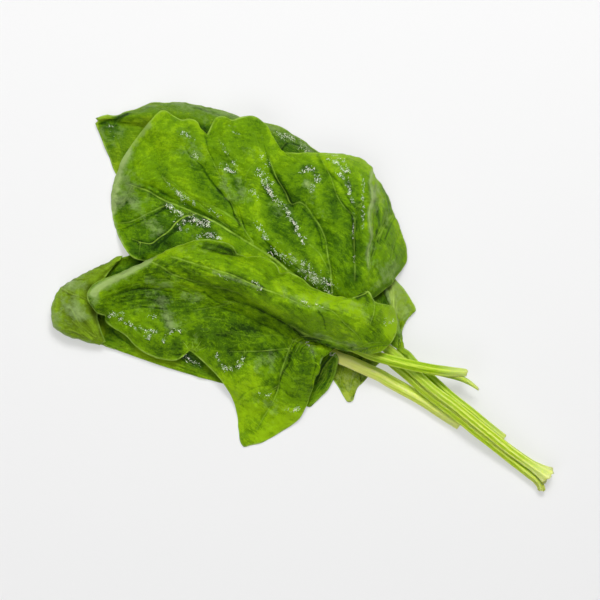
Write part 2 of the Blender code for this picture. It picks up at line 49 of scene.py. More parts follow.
# The heap is laid out in millimetres, then turned by this much and brought into the frame.
METRE = 0.001
BUNDLE_TURN = math.radians(36.0)
FROM_HEAP = np.array((
    (math.cos(BUNDLE_TURN), math.sin(BUNDLE_TURN), 0.0),
    (-math.sin(BUNDLE_TURN), math.cos(BUNDLE_TURN), 0.0),
    (0.0, 0.0, 1.0),
))
CAD_ROWS = 38
BLADE_THICKNESS = 0.55
MARGIN_THICKNESS = 0.22
MARGIN_WIDTH = 2.5
MARGIN_SEEN = 9.0
CLEARANCE = 0.45
STREAK_SQUEEZE = 0.3
VEIN_TAPER = 0.45
VEIN_REACH = 4.0
FAR_AWAY = 99.0
RIB_RINGS = 90
RIB_TIP_RADIUS = 0.35
RIB_BURIED = 0.96
RUN_SAMPLES = 900
SHARE_AT_BASE = 0.85
STALK_STEP = 0.6
GROWS_OVER = 12.0
FLARES_OVER = 8.0
RAGGED_OVER = 5.0
DRIFT_LENGTH = 17.0
# How far in each ring of an end cap stands, how far it lies back, and how raw it looks.
CAP_RINGS = ((0.86, 0.02, 0.3), (0.55, -0.25, 0.7), (0.2, -0.3, 1.0))


def evenly(count):
    return np.linspace(0.0, 1.0, count)


def through(points, knots, shares):
    """A cubic curve that passes each point at its knot, sampled at the shares."""
    points = np.asarray(points, float)
    wide = (slice(None),) + (None,) * (points.ndim - 1)
    slopes = np.diff(points, axis=0) / np.diff(knots)[wide]
    tangents = np.concatenate([slopes[:1], slopes, slopes[-1:]])
    weights = np.concatenate([[1.0], np.diff(knots), [1.0]])
    before, after = weights[:-1][wide], weights[1:][wide]
    tangents = (tangents[:-1] * after + tangents[1:] * before) / (before + after)
    shares = np.clip(np.asarray(shares, float), 0.0, 1.0)
    at = np.clip(np.searchsorted(knots, shares, side="right") - 1, 0, len(knots) - 2)
    span = (knots[at + 1] - knots[at])[wide]
    t = ((shares - knots[at]) / (knots[at + 1] - knots[at]))[wide]
    return (
        (2 * t**3 - 3 * t**2 + 1) * points[at]
        + (t**3 - 2 * t**2 + t) * span * tangents[at]
        + (3 * t**2 - 2 * t**3) * points[at + 1]
        + (t**3 - t**2) * span * tangents[at + 1]
    )


def smooth_curve(points, shares):
    """Points on a smooth curve through the given ones, at shares of its length."""
    points = np.asarray(points, float)
    gaps = np.maximum(np.linalg.norm(np.diff(points, axis=0), axis=1), 1e-9)
    return through(points, np.concatenate([[0.0], np.cumsum(gaps)]) / gaps.sum(), shares)


def long_line(points, rows, rise=None, ease=1.0, even=0.15):
    """A line along the leaf, from its base to its tip, through points on the heap in millimetres."""
    u = evenly(rows + 1)
    shares = even * u + (1 - even) * u**ease
    flat = smooth_curve(points, shares)
    if rise is None:
        return flat
    heights = through(np.array(rise, float), evenly(len(rise)), shares)
    return np.column_stack([flat, heights])


def between(first, second, share, lift):
    """A line part of the way from the first to the second, lifted where the leaf is widest."""
    line = first + (second - first) * share
    line[:, 2] += lift * np.sin(math.pi * evenly(len(line))) ** 0.6
    return line


def loft(lines, columns):
    """The grid of points of a sheet through the lines, from one margin to the other."""
    grid = through(np.array(lines), evenly(len(lines)), evenly(columns + 1))
    return np.swapaxes(grid, 0, 1)


def sheet_normals(grid):
    normal = np.cross(np.gradient(grid, axis=1), np.gradient(grid, axis=0))
    return normal / np.maximum(np.linalg.norm(normal, axis=2), 1e-9)[..., None]


def walked_along(points):
    """How far each point is along the line through them, from the first."""
    return np.concatenate([[0.0], np.cumsum(np.linalg.norm(np.diff(points, axis=0), axis=1))])


def sampled(at, known, points):
    return np.column_stack([np.interp(at, known, points[:, k]) for k in range(points.shape[1])])


def from_margin(grid):
    """How far each point of a sheet is from the margin, in millimetres. The base isn't margin."""
    across = np.linalg.norm(np.diff(grid, axis=1), axis=2)
    left = np.concatenate([np.zeros((len(grid), 1)), np.cumsum(across, axis=1)], axis=1)
    right = left[:, -1:] - left
    along = np.linalg.norm(np.diff(grid, axis=0), axis=2)[::-1]
    tip = np.concatenate([np.zeros((1, grid.shape[1])), np.cumsum(along, axis=0)])[::-1]
    return np.minimum(np.minimum(left, right), tip)


def beside(grid, line):
    """How far each point is from a line on the heap, below 0 to its right, and its share along it."""
    line = np.asarray(line, float)
    if len(line) > 2:
        line = smooth_curve(line, evenly(4 * len(line)))
    place = grid[..., :2].reshape(-1, 2)
    walked = walked_along(line)
    best = np.full(len(place), 1e9)
    share = np.zeros(len(place))
    for k in range(len(line) - 1):
        step = line[k + 1] - line[k]
        away = place - line[k]
        t = np.clip(away @ step / max(step @ step, 1e-9), 0.0, 1.0)
        side = np.where(step[0] * away[:, 1] < step[1] * away[:, 0], -1.0, 1.0)
        gap = np.linalg.norm(away - t[:, None] * step, axis=1)
        nearer = gap < np.abs(best)
        best = np.where(nearer, side * gap, best)
        share = np.where(nearer, (walked[k] + t * (walked[k + 1] - walked[k])) / walked[-1], share)
    return best.reshape(grid.shape[:2]), share.reshape(grid.shape[:2])


def each_line(drawing):
    """Each line of a drawing, in which the lines of one strength and width stand together."""
    for (strength, width), lines in drawing.items():
        for points in lines:
            yield strength, width, points


def drawn(grid, strokes, over=1.0):
    """Adds up soft strokes, as wide as they say in millimetres, on the parts where over is 1."""
    total = np.zeros(grid.shape[:2])
    for strength, width, points in each_line(strokes):
        if len(points) == 1:
            gap = np.linalg.norm(grid[..., :2] - points[0], axis=2)
        else:
            gap = beside(grid, points)[0]
        total += strength * np.exp(-((gap / width) ** 2))
    return total * over


def veined(grid, veins):
    """How strong the vein near each point is, and how many of its widths away it is, below 0 to its
    right. Each vein is drawn from its thick end."""
    strongest = np.zeros(grid.shape[:2])
    nearest = np.full(grid.shape[:2], FAR_AWAY)
    for strength, width, points in each_line(veins):
        gap, share = beside(grid, points)
        gap = gap / (width * (1 - VEIN_TAPER * share))
        nearest = np.where(np.abs(gap) < np.abs(nearest), gap, nearest)
        strongest = np.maximum(strongest, strength * np.exp(-((gap / VEIN_REACH) ** 2)))
    return strongest, nearest


def wrinkles(grid, size, seed, count=28):
    """Soft random waves about size millimetres long, mostly between -1 and 1."""
    rng = np.random.default_rng(seed)
    total = np.zeros(grid.shape[:2])
    for _ in range(count):
        way = rng.normal(size=3) * (1.0, 1.0, 0.5)
        pace = 2 * math.pi / size * rng.uniform(0.6, 1.5)
        phase = rng.uniform(0, 2 * math.pi)
        bend = 0.9 * np.sin(grid @ np.array((-way[1], way[0], 0.0)) * 2.0 / size + phase * 2)
        total += np.sin(grid @ (way / np.linalg.norm(way)) * pace + phase + bend)
    return total / math.sqrt(count)


class HeightMap:
    """The top of what has been laid down so far, as a leaf laid on it would feel it."""

    cell = 1.0
    low = np.array((-112.0, -92.0))
    cells = (230, 190)
    reach = 5

    def __init__(self):
        self.top = np.zeros(self.cells)

    def add(self, points):
        place = np.floor((points.reshape(-1, 3)[:, :2] - self.low) / self.cell).astype(int)
        np.maximum.at(self.top, (place[:, 0], place[:, 1]), points.reshape(-1, 3)[:, 2])

    def support(self):
        cover = self.top
        for axis in (0, 1):
            steps = range(-self.reach, self.reach + 1)
            cover = np.max([np.roll(cover, k, axis) for k in steps], axis=0)
        for axis in (0, 1):
            steps = range(1 - self.reach, self.reach)
            cover = np.mean([np.roll(cover, k, axis) for k in steps], axis=0)
        return cover

    def under(self, grid):
        cover = self.support()
        place = (grid[..., :2] - self.low) / self.cell - 0.5
        low = np.clip(np.floor(place).astype(int), 0, np.array(self.cells) - 2)
        t = np.clip(place - low, 0.0, 1.0)
        i, j = low[..., 0], low[..., 1]
        near = cover[i, j] * (1 - t[..., 0]) + cover[i + 1, j] * t[..., 0]
        far = cover[i, j + 1] * (1 - t[..., 0]) + cover[i + 1, j + 1] * t[..., 0]
        return near * (1 - t[..., 1]) + far * t[..., 1]


pile = HeightMap()


def laid_down(grid, relief):
    """The sheet with its relief, laid on the pile."""
    laid = grid + sheet_normals(grid) * relief[..., None]
    laid[..., 2] = np.maximum(laid[..., 2], BLADE_THICKNESS / 2)
    covered = pile.under(laid)
    laid[..., 2] += covered + CLEARANCE * np.clip(covered, 0.0, 1.0)
    pile.add(laid + (0, 0, BLADE_THICKNESS / 2))
    return laid


def in_frame(points):
    """Points of the heap, in millimetres, as points of the frame, in metres."""
    return (points.reshape(-1, 3) @ FROM_HEAP + heap_place) * METRE


def new_piece(name, corners, faces, fields, material):
    """A smooth mesh object in the frame, with one number a corner for each field."""
    mesh = bpy.data.meshes.new(name)
    mesh.from_pydata(corners.tolist(), [], faces)
    for field, values in fields.items():
        kind, part = ("FLOAT_VECTOR", "vector") if values.ndim == 2 else ("FLOAT", "value")
        stored = mesh.attributes.new(field, kind, "POINT")
        stored.data.foreach_set(part, values.astype(np.float32).ravel())
    mesh.materials.append(material)
    mesh.shade_smooth()
    piece = bpy.data.objects.new(name, mesh)
    bpy.context.scene.collection.objects.link(piece)
    return piece


def blade_piece(name, grid, vein, crease, fields, material):
    """The closed blade round a sheet. It thins to its margin, and 'upper' tells its two faces apart."""
    rows, columns = grid.shape[:2]
    margin = from_margin(grid)
    inward = np.clip(margin / MARGIN_WIDTH, 0.0, 1.0)
    thickness = MARGIN_THICKNESS + (BLADE_THICKNESS - MARGIN_THICKNESS) * inward
    fields = {
        **fields, "vein": vein[0], "vein_gap": vein[1], "crease": crease[0], "crease_gap": crease[1],
        "margin": np.minimum(margin, MARGIN_SEEN),
    }
    half = sheet_normals(grid) * (thickness / 2)[..., None]
    corners = np.concatenate([in_frame(grid + half), in_frame(grid - half)])
    over = np.arange(rows * columns).reshape(rows, columns)
    below = over + rows * columns
    top = np.stack([over[:-1, :-1], over[:-1, 1:], over[1:, 1:], over[1:, :-1]], axis=-1)
    faces = top.reshape(-1, 4).tolist() + (top[..., ::-1] + rows * columns).reshape(-1, 4).tolist()
    rim = [(i, 0) for i in range(rows)]
    rim += [(rows - 1, j) for j in range(1, columns)]
    rim += [(i, columns - 1) for i in range(rows - 2, -1, -1)]
    rim += [(0, j) for j in range(columns - 2, 0, -1)]
    for first, second in zip(rim, rim[1:] + rim[:1]):
        faces.append([int(over[first]), int(over[second]), int(below[second]), int(below[first])])
    both = {field: np.tile(values.ravel(), 2) for field, values in fields.items()}
    both["upper"] = np.repeat((1.0, 0.0), rows * columns)
    widths = np.linalg.norm(np.diff(grid, axis=1), axis=2)
    across = np.concatenate([np.zeros((rows, 1)), np.cumsum(widths, axis=1)], axis=1)
    across -= across[:, columns // 2][:, None]
    lengths = np.linalg.norm(np.diff(grid, axis=0), axis=2)
    along = np.concatenate([np.zeros((1, columns)), np.cumsum(lengths, axis=0)])
    weave = np.stack([across, STREAK_SQUEEZE * along, 0 * along], axis=-1).reshape(-1, 3)
    both["weave"] = np.tile(weave, (2, 1))
    both["wet"] = both["wet"] * both["upper"]
    return new_piece(name, corners, faces, both, material)


def filled(tree, node, inputs):
    """The node with its inputs set or linked, by name or by number."""
    for key, value in inputs.items():
        if isinstance(value, bpy.types.NodeSocket):
            tree.links.new(value, node.inputs[key])
        else:
            node.inputs[key].default_value = value
    return node


def add_node(tree, kind, settings=None, inputs=None):
    made = tree.nodes.new(kind)
    for key, value in (settings or {}).items():
        setattr(made, key, value)
    return filled(tree, made, inputs or {})


def new_skin(name):
    material = bpy.data.materials.new(name)
    material.use_nodes = True
    tree = material.node_tree
    return material, tree, tree.nodes["Principled BSDF"]


def field_of(tree, name, output="Fac"):
    return add_node(tree, "ShaderNodeAttribute", {"attribute_name": name}).outputs[output]


def maths(tree, operation, first, second=0.0, third=0.0, clamp=False):
    settings = {"operation": operation, "use_clamp": clamp}
    return add_node(tree, "ShaderNodeMath", settings, {0: first, 1: second, 2: third}).outputs[0]


def times(tree, first, second, clamp=False):
    return maths(tree, "MULTIPLY", first, second, clamp=clamp)


def added_up(tree, start, parts):
    """The start with each part times its weight added to it."""
    for part, weight in parts:
        start = maths(tree, "MULTIPLY_ADD", part, weight, start)
    return start


def vector_maths(tree, operation, inputs):
    return add_node(tree, "ShaderNodeVectorMath", {"operation": operation}, inputs).outputs[0]


def remapped(tree, value, low, high, to_low, to_high):
    inputs = {"Value": value, "From Min": low, "From Max": high, "To Min": to_low, "To Max": to_high}
    return add_node(tree, "ShaderNodeMapRange", None, inputs).outputs["Result"]


def faded(tree, value, whole, gone):
    """1 where the value is at most whole, down to 0 where it is at least gone."""
    return remapped(tree, value, whole, gone, 1.0, 0.0)


def thin_lines(tree, pattern, width):
    """Lines of 1 where a pattern passes 0, which fade out over the width."""
    return faded(tree, maths(tree, "ABSOLUTE", pattern), 0.0, width)


def mixed(tree, share, first, second, blend="MIX"):
    """Blends two colours, each a plain one or one that comes from a node."""
    inputs = {0: share}
    for key, colour in ((6, first), (7, second)):
        inputs[key] = (*colour, 1.0) if isinstance(colour, tuple) else colour
    return add_node(tree, "ShaderNodeMix", {"data_type": "RGBA", "blend_type": blend}, inputs).outputs[2]


def noise(tree, scale, amount, detail=3.0, vector=None, roughness=0.5):
    """A noise pattern from -amount to amount, with scale features a metre."""
    place = vector or add_node(tree, "ShaderNodeTexCoord").outputs["Object"]
    inputs = {"Vector": place, "Scale": scale, "Detail": detail, "Roughness": roughness}
    plain = add_node(tree, "ShaderNodeTexNoise", None, inputs).outputs["Fac"]
    return times(tree, maths(tree, "SUBTRACT", plain, 0.5), 2 * amount)


def ramp(tree, share, stops):
    made = add_node(tree, "ShaderNodeValToRGB", None, {0: share})
    made.color_ramp.interpolation = "EASE"
    elements = made.color_ramp.elements
    while len(elements) < len(stops):
        elements.new(0.5)
    for element, (place, colour) in zip(elements, stops):
        element.position = place
        element.color = (*colour, 1.0)
    return made.outputs["Color"]


def bumped(tree, height, strength, distance):
    inputs = {"Height": height, "Strength": strength, "Distance": distance}
    return add_node(tree, "ShaderNodeBump", None, inputs).outputs["Normal"]


def leaf_material(name, deep, dark, fresh, bright, back=(0.18, 0.31, 0.05), vein=(0.38, 0.60, 0.06),
                  painted_sheen=(0.30, 0.43, 0.14), pale=(0.42, 0.57, 0.19), rim_highlight=(0.44, 0.65, 0.10),
                  streaks=0.9):
    """The skin of a blade: green mottled at random and with painted light and shade, a net of veins, a dull
    back, painted sheen, a painted highlight along the margin, and water.
    """
    material, tree, surface = new_skin(name)
    place = add_node(tree, "ShaderNodeTexCoord").outputs["Object"]
    vein_near = field_of(tree, "vein")
    margin = field_of(tree, "margin")
    wet = field_of(tree, "wet")
    sheen_amount = field_of(tree, "painted_sheen")

    gap = maths(tree, "ABSOLUTE", field_of(tree, "vein_gap"))
    vein_line = times(tree, vein_near, faded(tree, gap, 0.25, 0.95))
    # Beside each vein a darker band: painted shade, which is also a shallow groove in the bump.
    vein_side = times(tree, vein_near, faded(tree, gap, 0.9, 3.4))
    # Along each crease a dark line: painted shade in the crease, which is also sunk in the bump and in the
    # relief.
    crease_gap = maths(tree, "ABSOLUTE", field_of(tree, "crease_gap"))
    crease = times(tree, field_of(tree, "crease"), faded(tree, crease_gap, 0.1, 1.5))
    # The pale line along the margin and the lighter band within it: a painted highlight where the margin
    # bends away and catches the light.
    rim = faded(tree, margin, 0.30, 0.85)
    by_rim = faded(tree, margin, 0.5, 2.4)

    bent = add_node(tree, "ShaderNodeTexNoise", None, {"Vector": place, "Scale": 160.0, "Detail": 2.0})
    shift = vector_maths(tree, "SCALE", {0: bent.outputs["Color"], "Scale": 0.008})
    bent_place = vector_maths(tree, "ADD", {0: place, 1: shift})
    cells = add_node(tree, "ShaderNodeTexVoronoi", {"feature": "DISTANCE_TO_EDGE"},
                     {"Vector": bent_place, "Scale": 230.0})
    net = faded(tree, cells.outputs["Distance"], 0.0, 0.12)
    net = times(tree, net, remapped(tree, noise(tree, 70.0, 1.0), -0.3, 0.3, 0.2, 1.0))

    weave = field_of(tree, "weave", "Vector")
    streak = noise(tree, 0.55, streaks, 5.0, weave, roughness=0.75)
    thread = thin_lines(tree, noise(tree, 0.5, 1.0, 3.0, weave), 0.055)
    broken = remapped(tree, noise(tree, 150.0, 1.0), -0.05, 0.25, 0.0, 1.0)
    thread = times(tree, thread, broken)
    # The tone: random mottling and threads, the painted light and shade of the tone field, painted shade in
    # creases and beside veins, and a painted highlight near the margin.
    tone = added_up(tree, field_of(tree, "tone"), (
        (noise(tree, 110.0, 0.30, 2.0), 1.0), (noise(tree, 380.0, 0.90, 5.0, roughness=0.70), 1.0),
        (noise(tree, 1700.0, 0.40, 1.0), 1.0), (streak, 1.0), (thread, 0.75), (crease, -1.1),
        (net, 0.20), (vein_side, -0.55), (by_rim, 0.30), (wet, -0.35),
    ))
    share = maths(tree, "MULTIPLY_ADD", tone, 0.5, 0.5)
    colour = ramp(tree, share, [(0.0, deep), (0.27, dark), (0.62, fresh), (1.0, bright)])

    dull = mixed(tree, times(tree, net, 0.35), back, vein)
    dull = mixed(tree, 1.0, dull, remapped(tree, tone, -1.0, 1.0, 0.45, 1.35), "MULTIPLY")
    colour = mixed(tree, field_of(tree, "upper"), dull, colour)

    broken_up = remapped(tree, noise(tree, 240.0, 1.0, 5.0), -0.3, 0.25, 0.25, 1.0)
    colour = mixed(tree, times(tree, vein_line, broken_up), colour, vein)
    # The margin's painted highlight, broken up at random.
    broken_rim_highlight = times(tree, rim, times(tree, broken_up, 0.85))
    colour = mixed(tree, broken_rim_highlight, colour, rim_highlight)
    # Pale greyish patches where the sheen field says: a painted sheen that stands in for reflected light;
    # where it is thick it takes the paler colour.
    cloud = remapped(tree, noise(tree, 300.0, 1.0, 5.0, roughness=0.7), -0.22, 0.18, 0.0, 1.0)
    cloud = added_up(tree, cloud, ((streak, 0.5),))
    sheen_mix = maths(tree, "MULTIPLY_ADD", cloud, 0.6, -0.6)
    sheen_mix = maths(tree, "MULTIPLY_ADD", sheen_amount, 1.25, sheen_mix, clamp=True)
    sheen_mix = times(tree, sheen_mix, 0.85)
    thick_sheen = remapped(tree, sheen_amount, 0.55, 1.0, 0.0, 1.0)
    colour = mixed(tree, sheen_mix, colour, mixed(tree, thick_sheen, painted_sheen, pale))

    height = added_up(tree, noise(tree, 560.0, 0.6, 6.0, roughness=0.75), (
        (streak, 0.45), (net, -0.14), (crease, -0.5), (thread, 0.3), (vein_side, -0.4), (vein_line, 0.5),
    ))
    patches = remapped(tree, noise(tree, 800.0, 1.0, 3.0), 0.0, 0.10, 0.0, 0.8)
    filled(tree, surface, {
        "Base Color": colour,
        "Roughness": maths(tree, "ADD", noise(tree, 260.0, 0.12), 0.40),
        "IOR": 1.33,
        "Specular IOR Level": 0.18,
        "Normal": bumped(tree, height, strength=0.9, distance=0.0006),
        "Coat Weight": times(tree, wet, patches, clamp=True),
        "Coat Roughness": 0.07,
        "Coat IOR": 1.6,
        "Coat Normal": bumped(tree, noise(tree, 1100.0, 1.0, 2.0), strength=1.0, distance=0.00016),
    })
    return material


def stem_course(grid, stalk, rib_column, reach, radius, face_up=True, flare=1.0):
    """Centres and radii of a stem, from the midrib's far end along the blade to the cut end."""
    rib = grid[:, rib_column]
    normal = sheet_normals(grid)[:, rib_column] * (1 if face_up else -1)
    shares = walked_along(rib) / walked_along(rib)[-1]
    at = np.linspace(reach, 0.0, RIB_RINGS)
    at_base = radius * SHARE_AT_BASE
    thick = RIB_TIP_RADIUS + (at_base - RIB_TIP_RADIUS) * (1 - at / reach) ** 0.8
    under = sampled(at, shares, rib) - sampled(at, shares, normal) * (thick * RIB_BURIED)[:, None]
    coarse = under[:: len(under) // 12]
    run = smooth_curve(np.concatenate([coarse, under[-1:], stalk]), evenly(RUN_SAMPLES))
    walked = walked_along(run)
    base = walked[np.argmin(np.linalg.norm(run - under[-1], axis=1))]
    outer_at = np.arange(base + STALK_STEP, walked[-1], STALK_STEP)
    growth = np.clip((outer_at - base) / GROWS_OVER, 0.0, 1.0)
    grown = radius * (SHARE_AT_BASE + (1 - SHARE_AT_BASE) * growth)
    from_end = np.clip((walked[-1] - outer_at) / FLARES_OVER, 0.0, 1.0)
    grown *= flare + (1 - flare) * from_end**0.6
    return np.concatenate([under, sampled(outer_at, walked, run)]), np.concatenate([thick, grown])


def stalk_tube(centres, radii, ridges, depth, torn, seed, sides=40):
    """Corners, faces and fields of one closed ridged tube, whose end is torn by some millimetres."""
    rng = np.random.default_rng(seed)
    along = np.gradient(centres, axis=0)
    along /= np.linalg.norm(along, axis=1)[:, None]
    aside = np.cross(along, (0.0, 0.0, 1.0))
    aside /= np.linalg.norm(aside, axis=1)[:, None]
    up = np.cross(aside, along)
    angle = 2 * math.pi * np.arange(sides) / sides
    walked = walked_along(centres)
    drift = 0.25 * np.sin(walked[:, None] / DRIFT_LENGTH + seed)
    ribs = np.cos(ridges * (angle[None, :] + drift))
    ribs = np.sign(ribs) * np.abs(ribs) ** 0.8
    fine = np.cos((2 * ridges + 3) * (angle[None, :] - drift))
    shape = 1 - depth / 2 * (1 - ribs) + depth * 0.12 * fine
    sideways = aside[:, None] * (np.sin(angle) * shape)[..., None]
    upward = up[:, None] * (np.cos(angle) * shape)[..., None]
    rings = centres[:, None] + radii[:, None, None] * (sideways + upward)
    ragged = torn * (rng.random(sides) + 0.5 * np.cos(2 * angle + 1.0))
    near_end = np.clip(1 - (walked[-1] - walked) / RAGGED_OVER, 0.0, 1.0)[:, None]
    rings += (along[-1] * ragged[:, None])[None] * near_end[..., None]
    pile.add(rings)
    caps = []
    for place, outward in ((0, -1.0), (-1, 1.0)):
        middle = rings[place].mean(axis=0)
        for inward, sink, _ in CAP_RINGS:
            hollow = along[place] * outward * sink * radii[place]
            caps.append(middle + (rings[place] - middle) * inward + hollow)
    count = len(centres)
    ends = len(caps)
    index = np.arange((count + ends) * sides).reshape(-1, sides)
    near_cap, far_cap = np.split(index[count:], 2)
    order = np.concatenate([near_cap[::-1], index[:count], far_cap])
    after = np.roll(np.arange(sides), -1)
    faces = [order[0].tolist(), order[-1][::-1].tolist()]
    for first, second in zip(order[:-1], order[1:]):
        faces += np.stack([first, second, second[after], first[after]], axis=-1).tolist()
    from_end = np.concatenate([np.repeat(walked[-1] - walked, sides), np.zeros(ends * sides)])
    around = np.tile(np.column_stack([np.cos(angle), np.sin(angle)]), (count + ends, 1))
    cut = [rawness for _, _, rawness in CAP_RINGS]
    fields = {
        "ridge": np.concatenate([(ribs + 0.6 * fine).ravel(), np.zeros(ends * sides)]),
        "from_end": from_end,
        "cut": np.concatenate([np.zeros(count * sides), np.repeat(cut + cut, sides)]),
        "fibre": np.column_stack([around, from_end * 0.03]),
    }
    return np.concatenate([rings.reshape(-1, 3)] + caps), faces, fields


def stem_piece(name, tubes, material):
    """A stalk made of one or more tubes."""
    corners, faces, fields = tubes[0]
    for more_corners, more_faces, more_fields in tubes[1:]:
        faces = faces + [[corner + len(corners) for corner in face] for face in more_faces]
        corners = np.concatenate([corners, more_corners])
        fields = {key: np.concatenate([fields[key], more_fields[key]]) for key in fields}
    return new_piece(name, in_frame(corners), faces, fields, material)


def stem_material(name, groove, flesh, crest, end, leafward, leaf_from=45.0, leaf_to=85.0):
    """The skin of a stalk: pale ridges, greener grooves, fine fibres along it, and a moist gloss."""
    material, tree, surface = new_skin(name)
    fibre = field_of(tree, "fibre", "Vector")
    streak = noise(tree, 5.0, 0.9, 5.0, fibre)
    thread = thin_lines(tree, noise(tree, 3.4, 1.0, 2.0, fibre), 0.05)
    furrow = thin_lines(tree, noise(tree, 4.6, 1.0, 1.0, fibre), 0.04)
    ridge = added_up(tree, field_of(tree, "ridge"), (
        (streak, 1.0), (noise(tree, 90.0, 0.4, 2.0), 1.0), (thread, 1.3), (furrow, -1.2),
    ))
    share = maths(tree, "MULTIPLY_ADD", ridge, 0.38, 0.5)
    colour = ramp(tree, share, [(0.05, groove), (0.5, flesh), (0.95, crest)])
    from_end = field_of(tree, "from_end")
    # Towards the blade the stalk takes its leafward colour: painted light on the rolled stalk and painted
    # shade on the back stalk.
    toward_blade = remapped(tree, from_end, leaf_from, leaf_to, 0.0, 0.8)
    by_end = remapped(tree, from_end, 0.5, 13.0, 0.7, 0.0)
    on_cut = times(tree, field_of(tree, "cut"), 0.8)
    for share, other in ((toward_blade, leafward), (by_end, end), (on_cut, end)):
        colour = mixed(tree, share, colour, other)
    height = maths(tree, "ADD", streak, noise(tree, 1600.0, 0.15, 3.0))
    filled(tree, surface, {
        "Base Color": colour,
        "Roughness": maths(tree, "ADD", noise(tree, 8.0, 0.1, 3.0, fibre), 0.46),
        "IOR": 1.38,
        "Specular IOR Level": 0.3,
        "Subsurface Weight": 0.6,
        "Subsurface Radius": (1.0, 1.0, 0.15),
        "Subsurface Scale": 0.003,
        "Normal": bumped(tree, height, strength=0.4, distance=0.0003),
    })
    return material


def hand_in(piece, node):
    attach(piece, "root")
    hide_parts(node)


UNDER_FLAT = 0.35
under_rows = CAD_ROWS * 4
under_lobed = long_line(
    [(30, -23.2, 2.2), (32.2, -24.4, 1.4), (30.4, -26.4, 0.8), (28.4, -28.8, UNDER_FLAT),
     (26.8, -31.2, UNDER_FLAT), (24.8, -33.4, UNDER_FLAT), (23.2, -34.8, UNDER_FLAT),
     (21.8, -38, 0.8), (21, -40.4, 1.0), (19.2, -40.8, 0.6), (17.6, -38.8, UNDER_FLAT),
     (15.4, -35, UNDER_FLAT), (12.5, -31, UNDER_FLAT), (2, -20, UNDER_FLAT), (-14, -12, UNDER_FLAT),
     (-30, -2, UNDER_FLAT), (-36, 10, UNDER_FLAT)],
    under_rows,
)
under_rib = long_line(
    [(29.5, -22), (16, -14), (0, -6), (-20, 4), (-36.5, 12)], under_rows,
    rise=(2.4, UNDER_FLAT, UNDER_FLAT, UNDER_FLAT, UNDER_FLAT), ease=1.8,
)
under_hidden = long_line(
    [(30.4, -21), (30, -12), (20, 0), (4, 10), (-16, 18), (-30, 18), (-36, 14)], under_rows,
    rise=(2.4, 3.0, 2.0, 1.5, 1.2, UNDER_FLAT),
)
under_flat = loft([
    under_lobed, between(under_lobed, under_rib, 0.5, 0.0), under_rib,
    between(under_rib, under_hidden, 0.5, 1.0), under_hidden,
], columns=80)
UNDER_VEINS = {
    (0.6, 0.5): [[(24, -24), (21, -31), (19.6, -37)]],
    (0.4, 0.4): [[(27, -25), (25.6, -29), (24.4, -32)], [(18, -24), (16.4, -30), (16, -34)]],
}
UNDER_CREASES = {
    (0.8, 0.5): [[(22.4, -26.4), (24, -29.6), (24.4, -33.6)]],
    (0.9, 0.4): [[(20.4, -40), (21, -38.8), (22, -38)]],
    (0.5, 0.5): [[(15.6, -29.6), (17.6, -33.6), (19.2, -36.8)]],
}
# Painted light and painted shade on the blade: light and dark patches for how its lobe and folds are lit.
UNDER_TONES = {
    (-0.7, 1.6): [[(12, -31.2), (16, -36)]],
    (0.5, 1.4): [[(20.8, -26.4), (21.6, -35.2)]],
    (1.3, 1.6): [[(18.6, -38), (19.6, -41)]],
    (-1.0, 1.0): [[(26.4, -29), (26, -32)]],
    (0.35, 1.5): [[(17.2, -31), (19, -35)]],
    (-0.4, 1.2): [[(21.4, -29.5), (21.6, -34)]],
}
cad_corners = [np.array(corner)[:2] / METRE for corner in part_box("under_blade")]
turned = (under_flat.reshape(-1, 3) @ FROM_HEAP)[:, :2]
heap_place = np.append(sum(cad_corners) / 2 - (turned.min(axis=0) + turned.max(axis=0)) / 2, 0.0)

under_vein = veined(under_flat, UNDER_VEINS)
under_relief = 0.15 * wrinkles(under_flat, size=9.0, seed=3) * np.clip(from_margin(under_flat), 0, 1)
under_laid = laid_down(under_flat, under_relief)
under_fields = {
    "tone": drawn(under_laid, UNDER_TONES),
    # A light painted sheen over the whole blade, broken up in the skin.
    "painted_sheen": np.full(under_laid.shape[:2], 0.25),
    "wet": np.zeros(under_laid.shape[:2]),
}
under_skin = leaf_material(
    "under_leaf_skin", deep=(0.05, 0.09, 0.002), dark=(0.12, 0.21, 0.004), fresh=(0.26, 0.38, 0.02),
    bright=(0.42, 0.54, 0.05), back=(0.25, 0.37, 0.02), vein=(0.40, 0.52, 0.14),
    painted_sheen=(0.38, 0.45, 0.20),
)
under_crease = veined(under_flat, UNDER_CREASES)
under_blade = blade_piece(
    "under_leaf_blade", under_laid, under_vein, under_crease, under_fields, under_skin,
)
hand_in(under_blade, "under_blade")

UNDER_STALK = [
    (33.5, -23.2, 4.6), (38, -26.4, 5.6), (42.2, -29.8, 6.5), (46, -33.2, 6.9), (52, -38.4, 6.9),
    (58, -43.1, 6.9), (64, -47.8, 6.9), (67.8, -51, 6.5), (75.8, -57.2, 5.3), (83.9, -63.5, 4.0),
    (91, -69, 3.5), (94.5, -71.9, 3.3), (96, -73.9, 3.0), (96.4, -75.5, 2.7),
]
under_flesh = stem_material(
    "under_leaf_stalk", groove=(0.28, 0.44, 0.006), flesh=(0.46, 0.64, 0.02), crest=(0.66, 0.80, 0.14),
    end=(0.58, 0.64, 0.18), leafward=(0.34, 0.52, 0.02),
)
centres, radii = stem_course(
    under_laid, UNDER_STALK, rib_column=40, reach=0.75, radius=1.75, face_up=False, flare=0.9,
)
under_tube = stalk_tube(centres, radii, ridges=5, depth=0.12, torn=0.8, seed=2)
hand_in(stem_piece("under_leaf_stem", [under_tube], under_flesh), "under_stem")

# The rolled leaf
# The leaf at the left. Its whole end is turned up and lies back over itself, so its pale back shows
# there. It is one soft blade, with a thick pale stalk that is nearly white on its ridges.

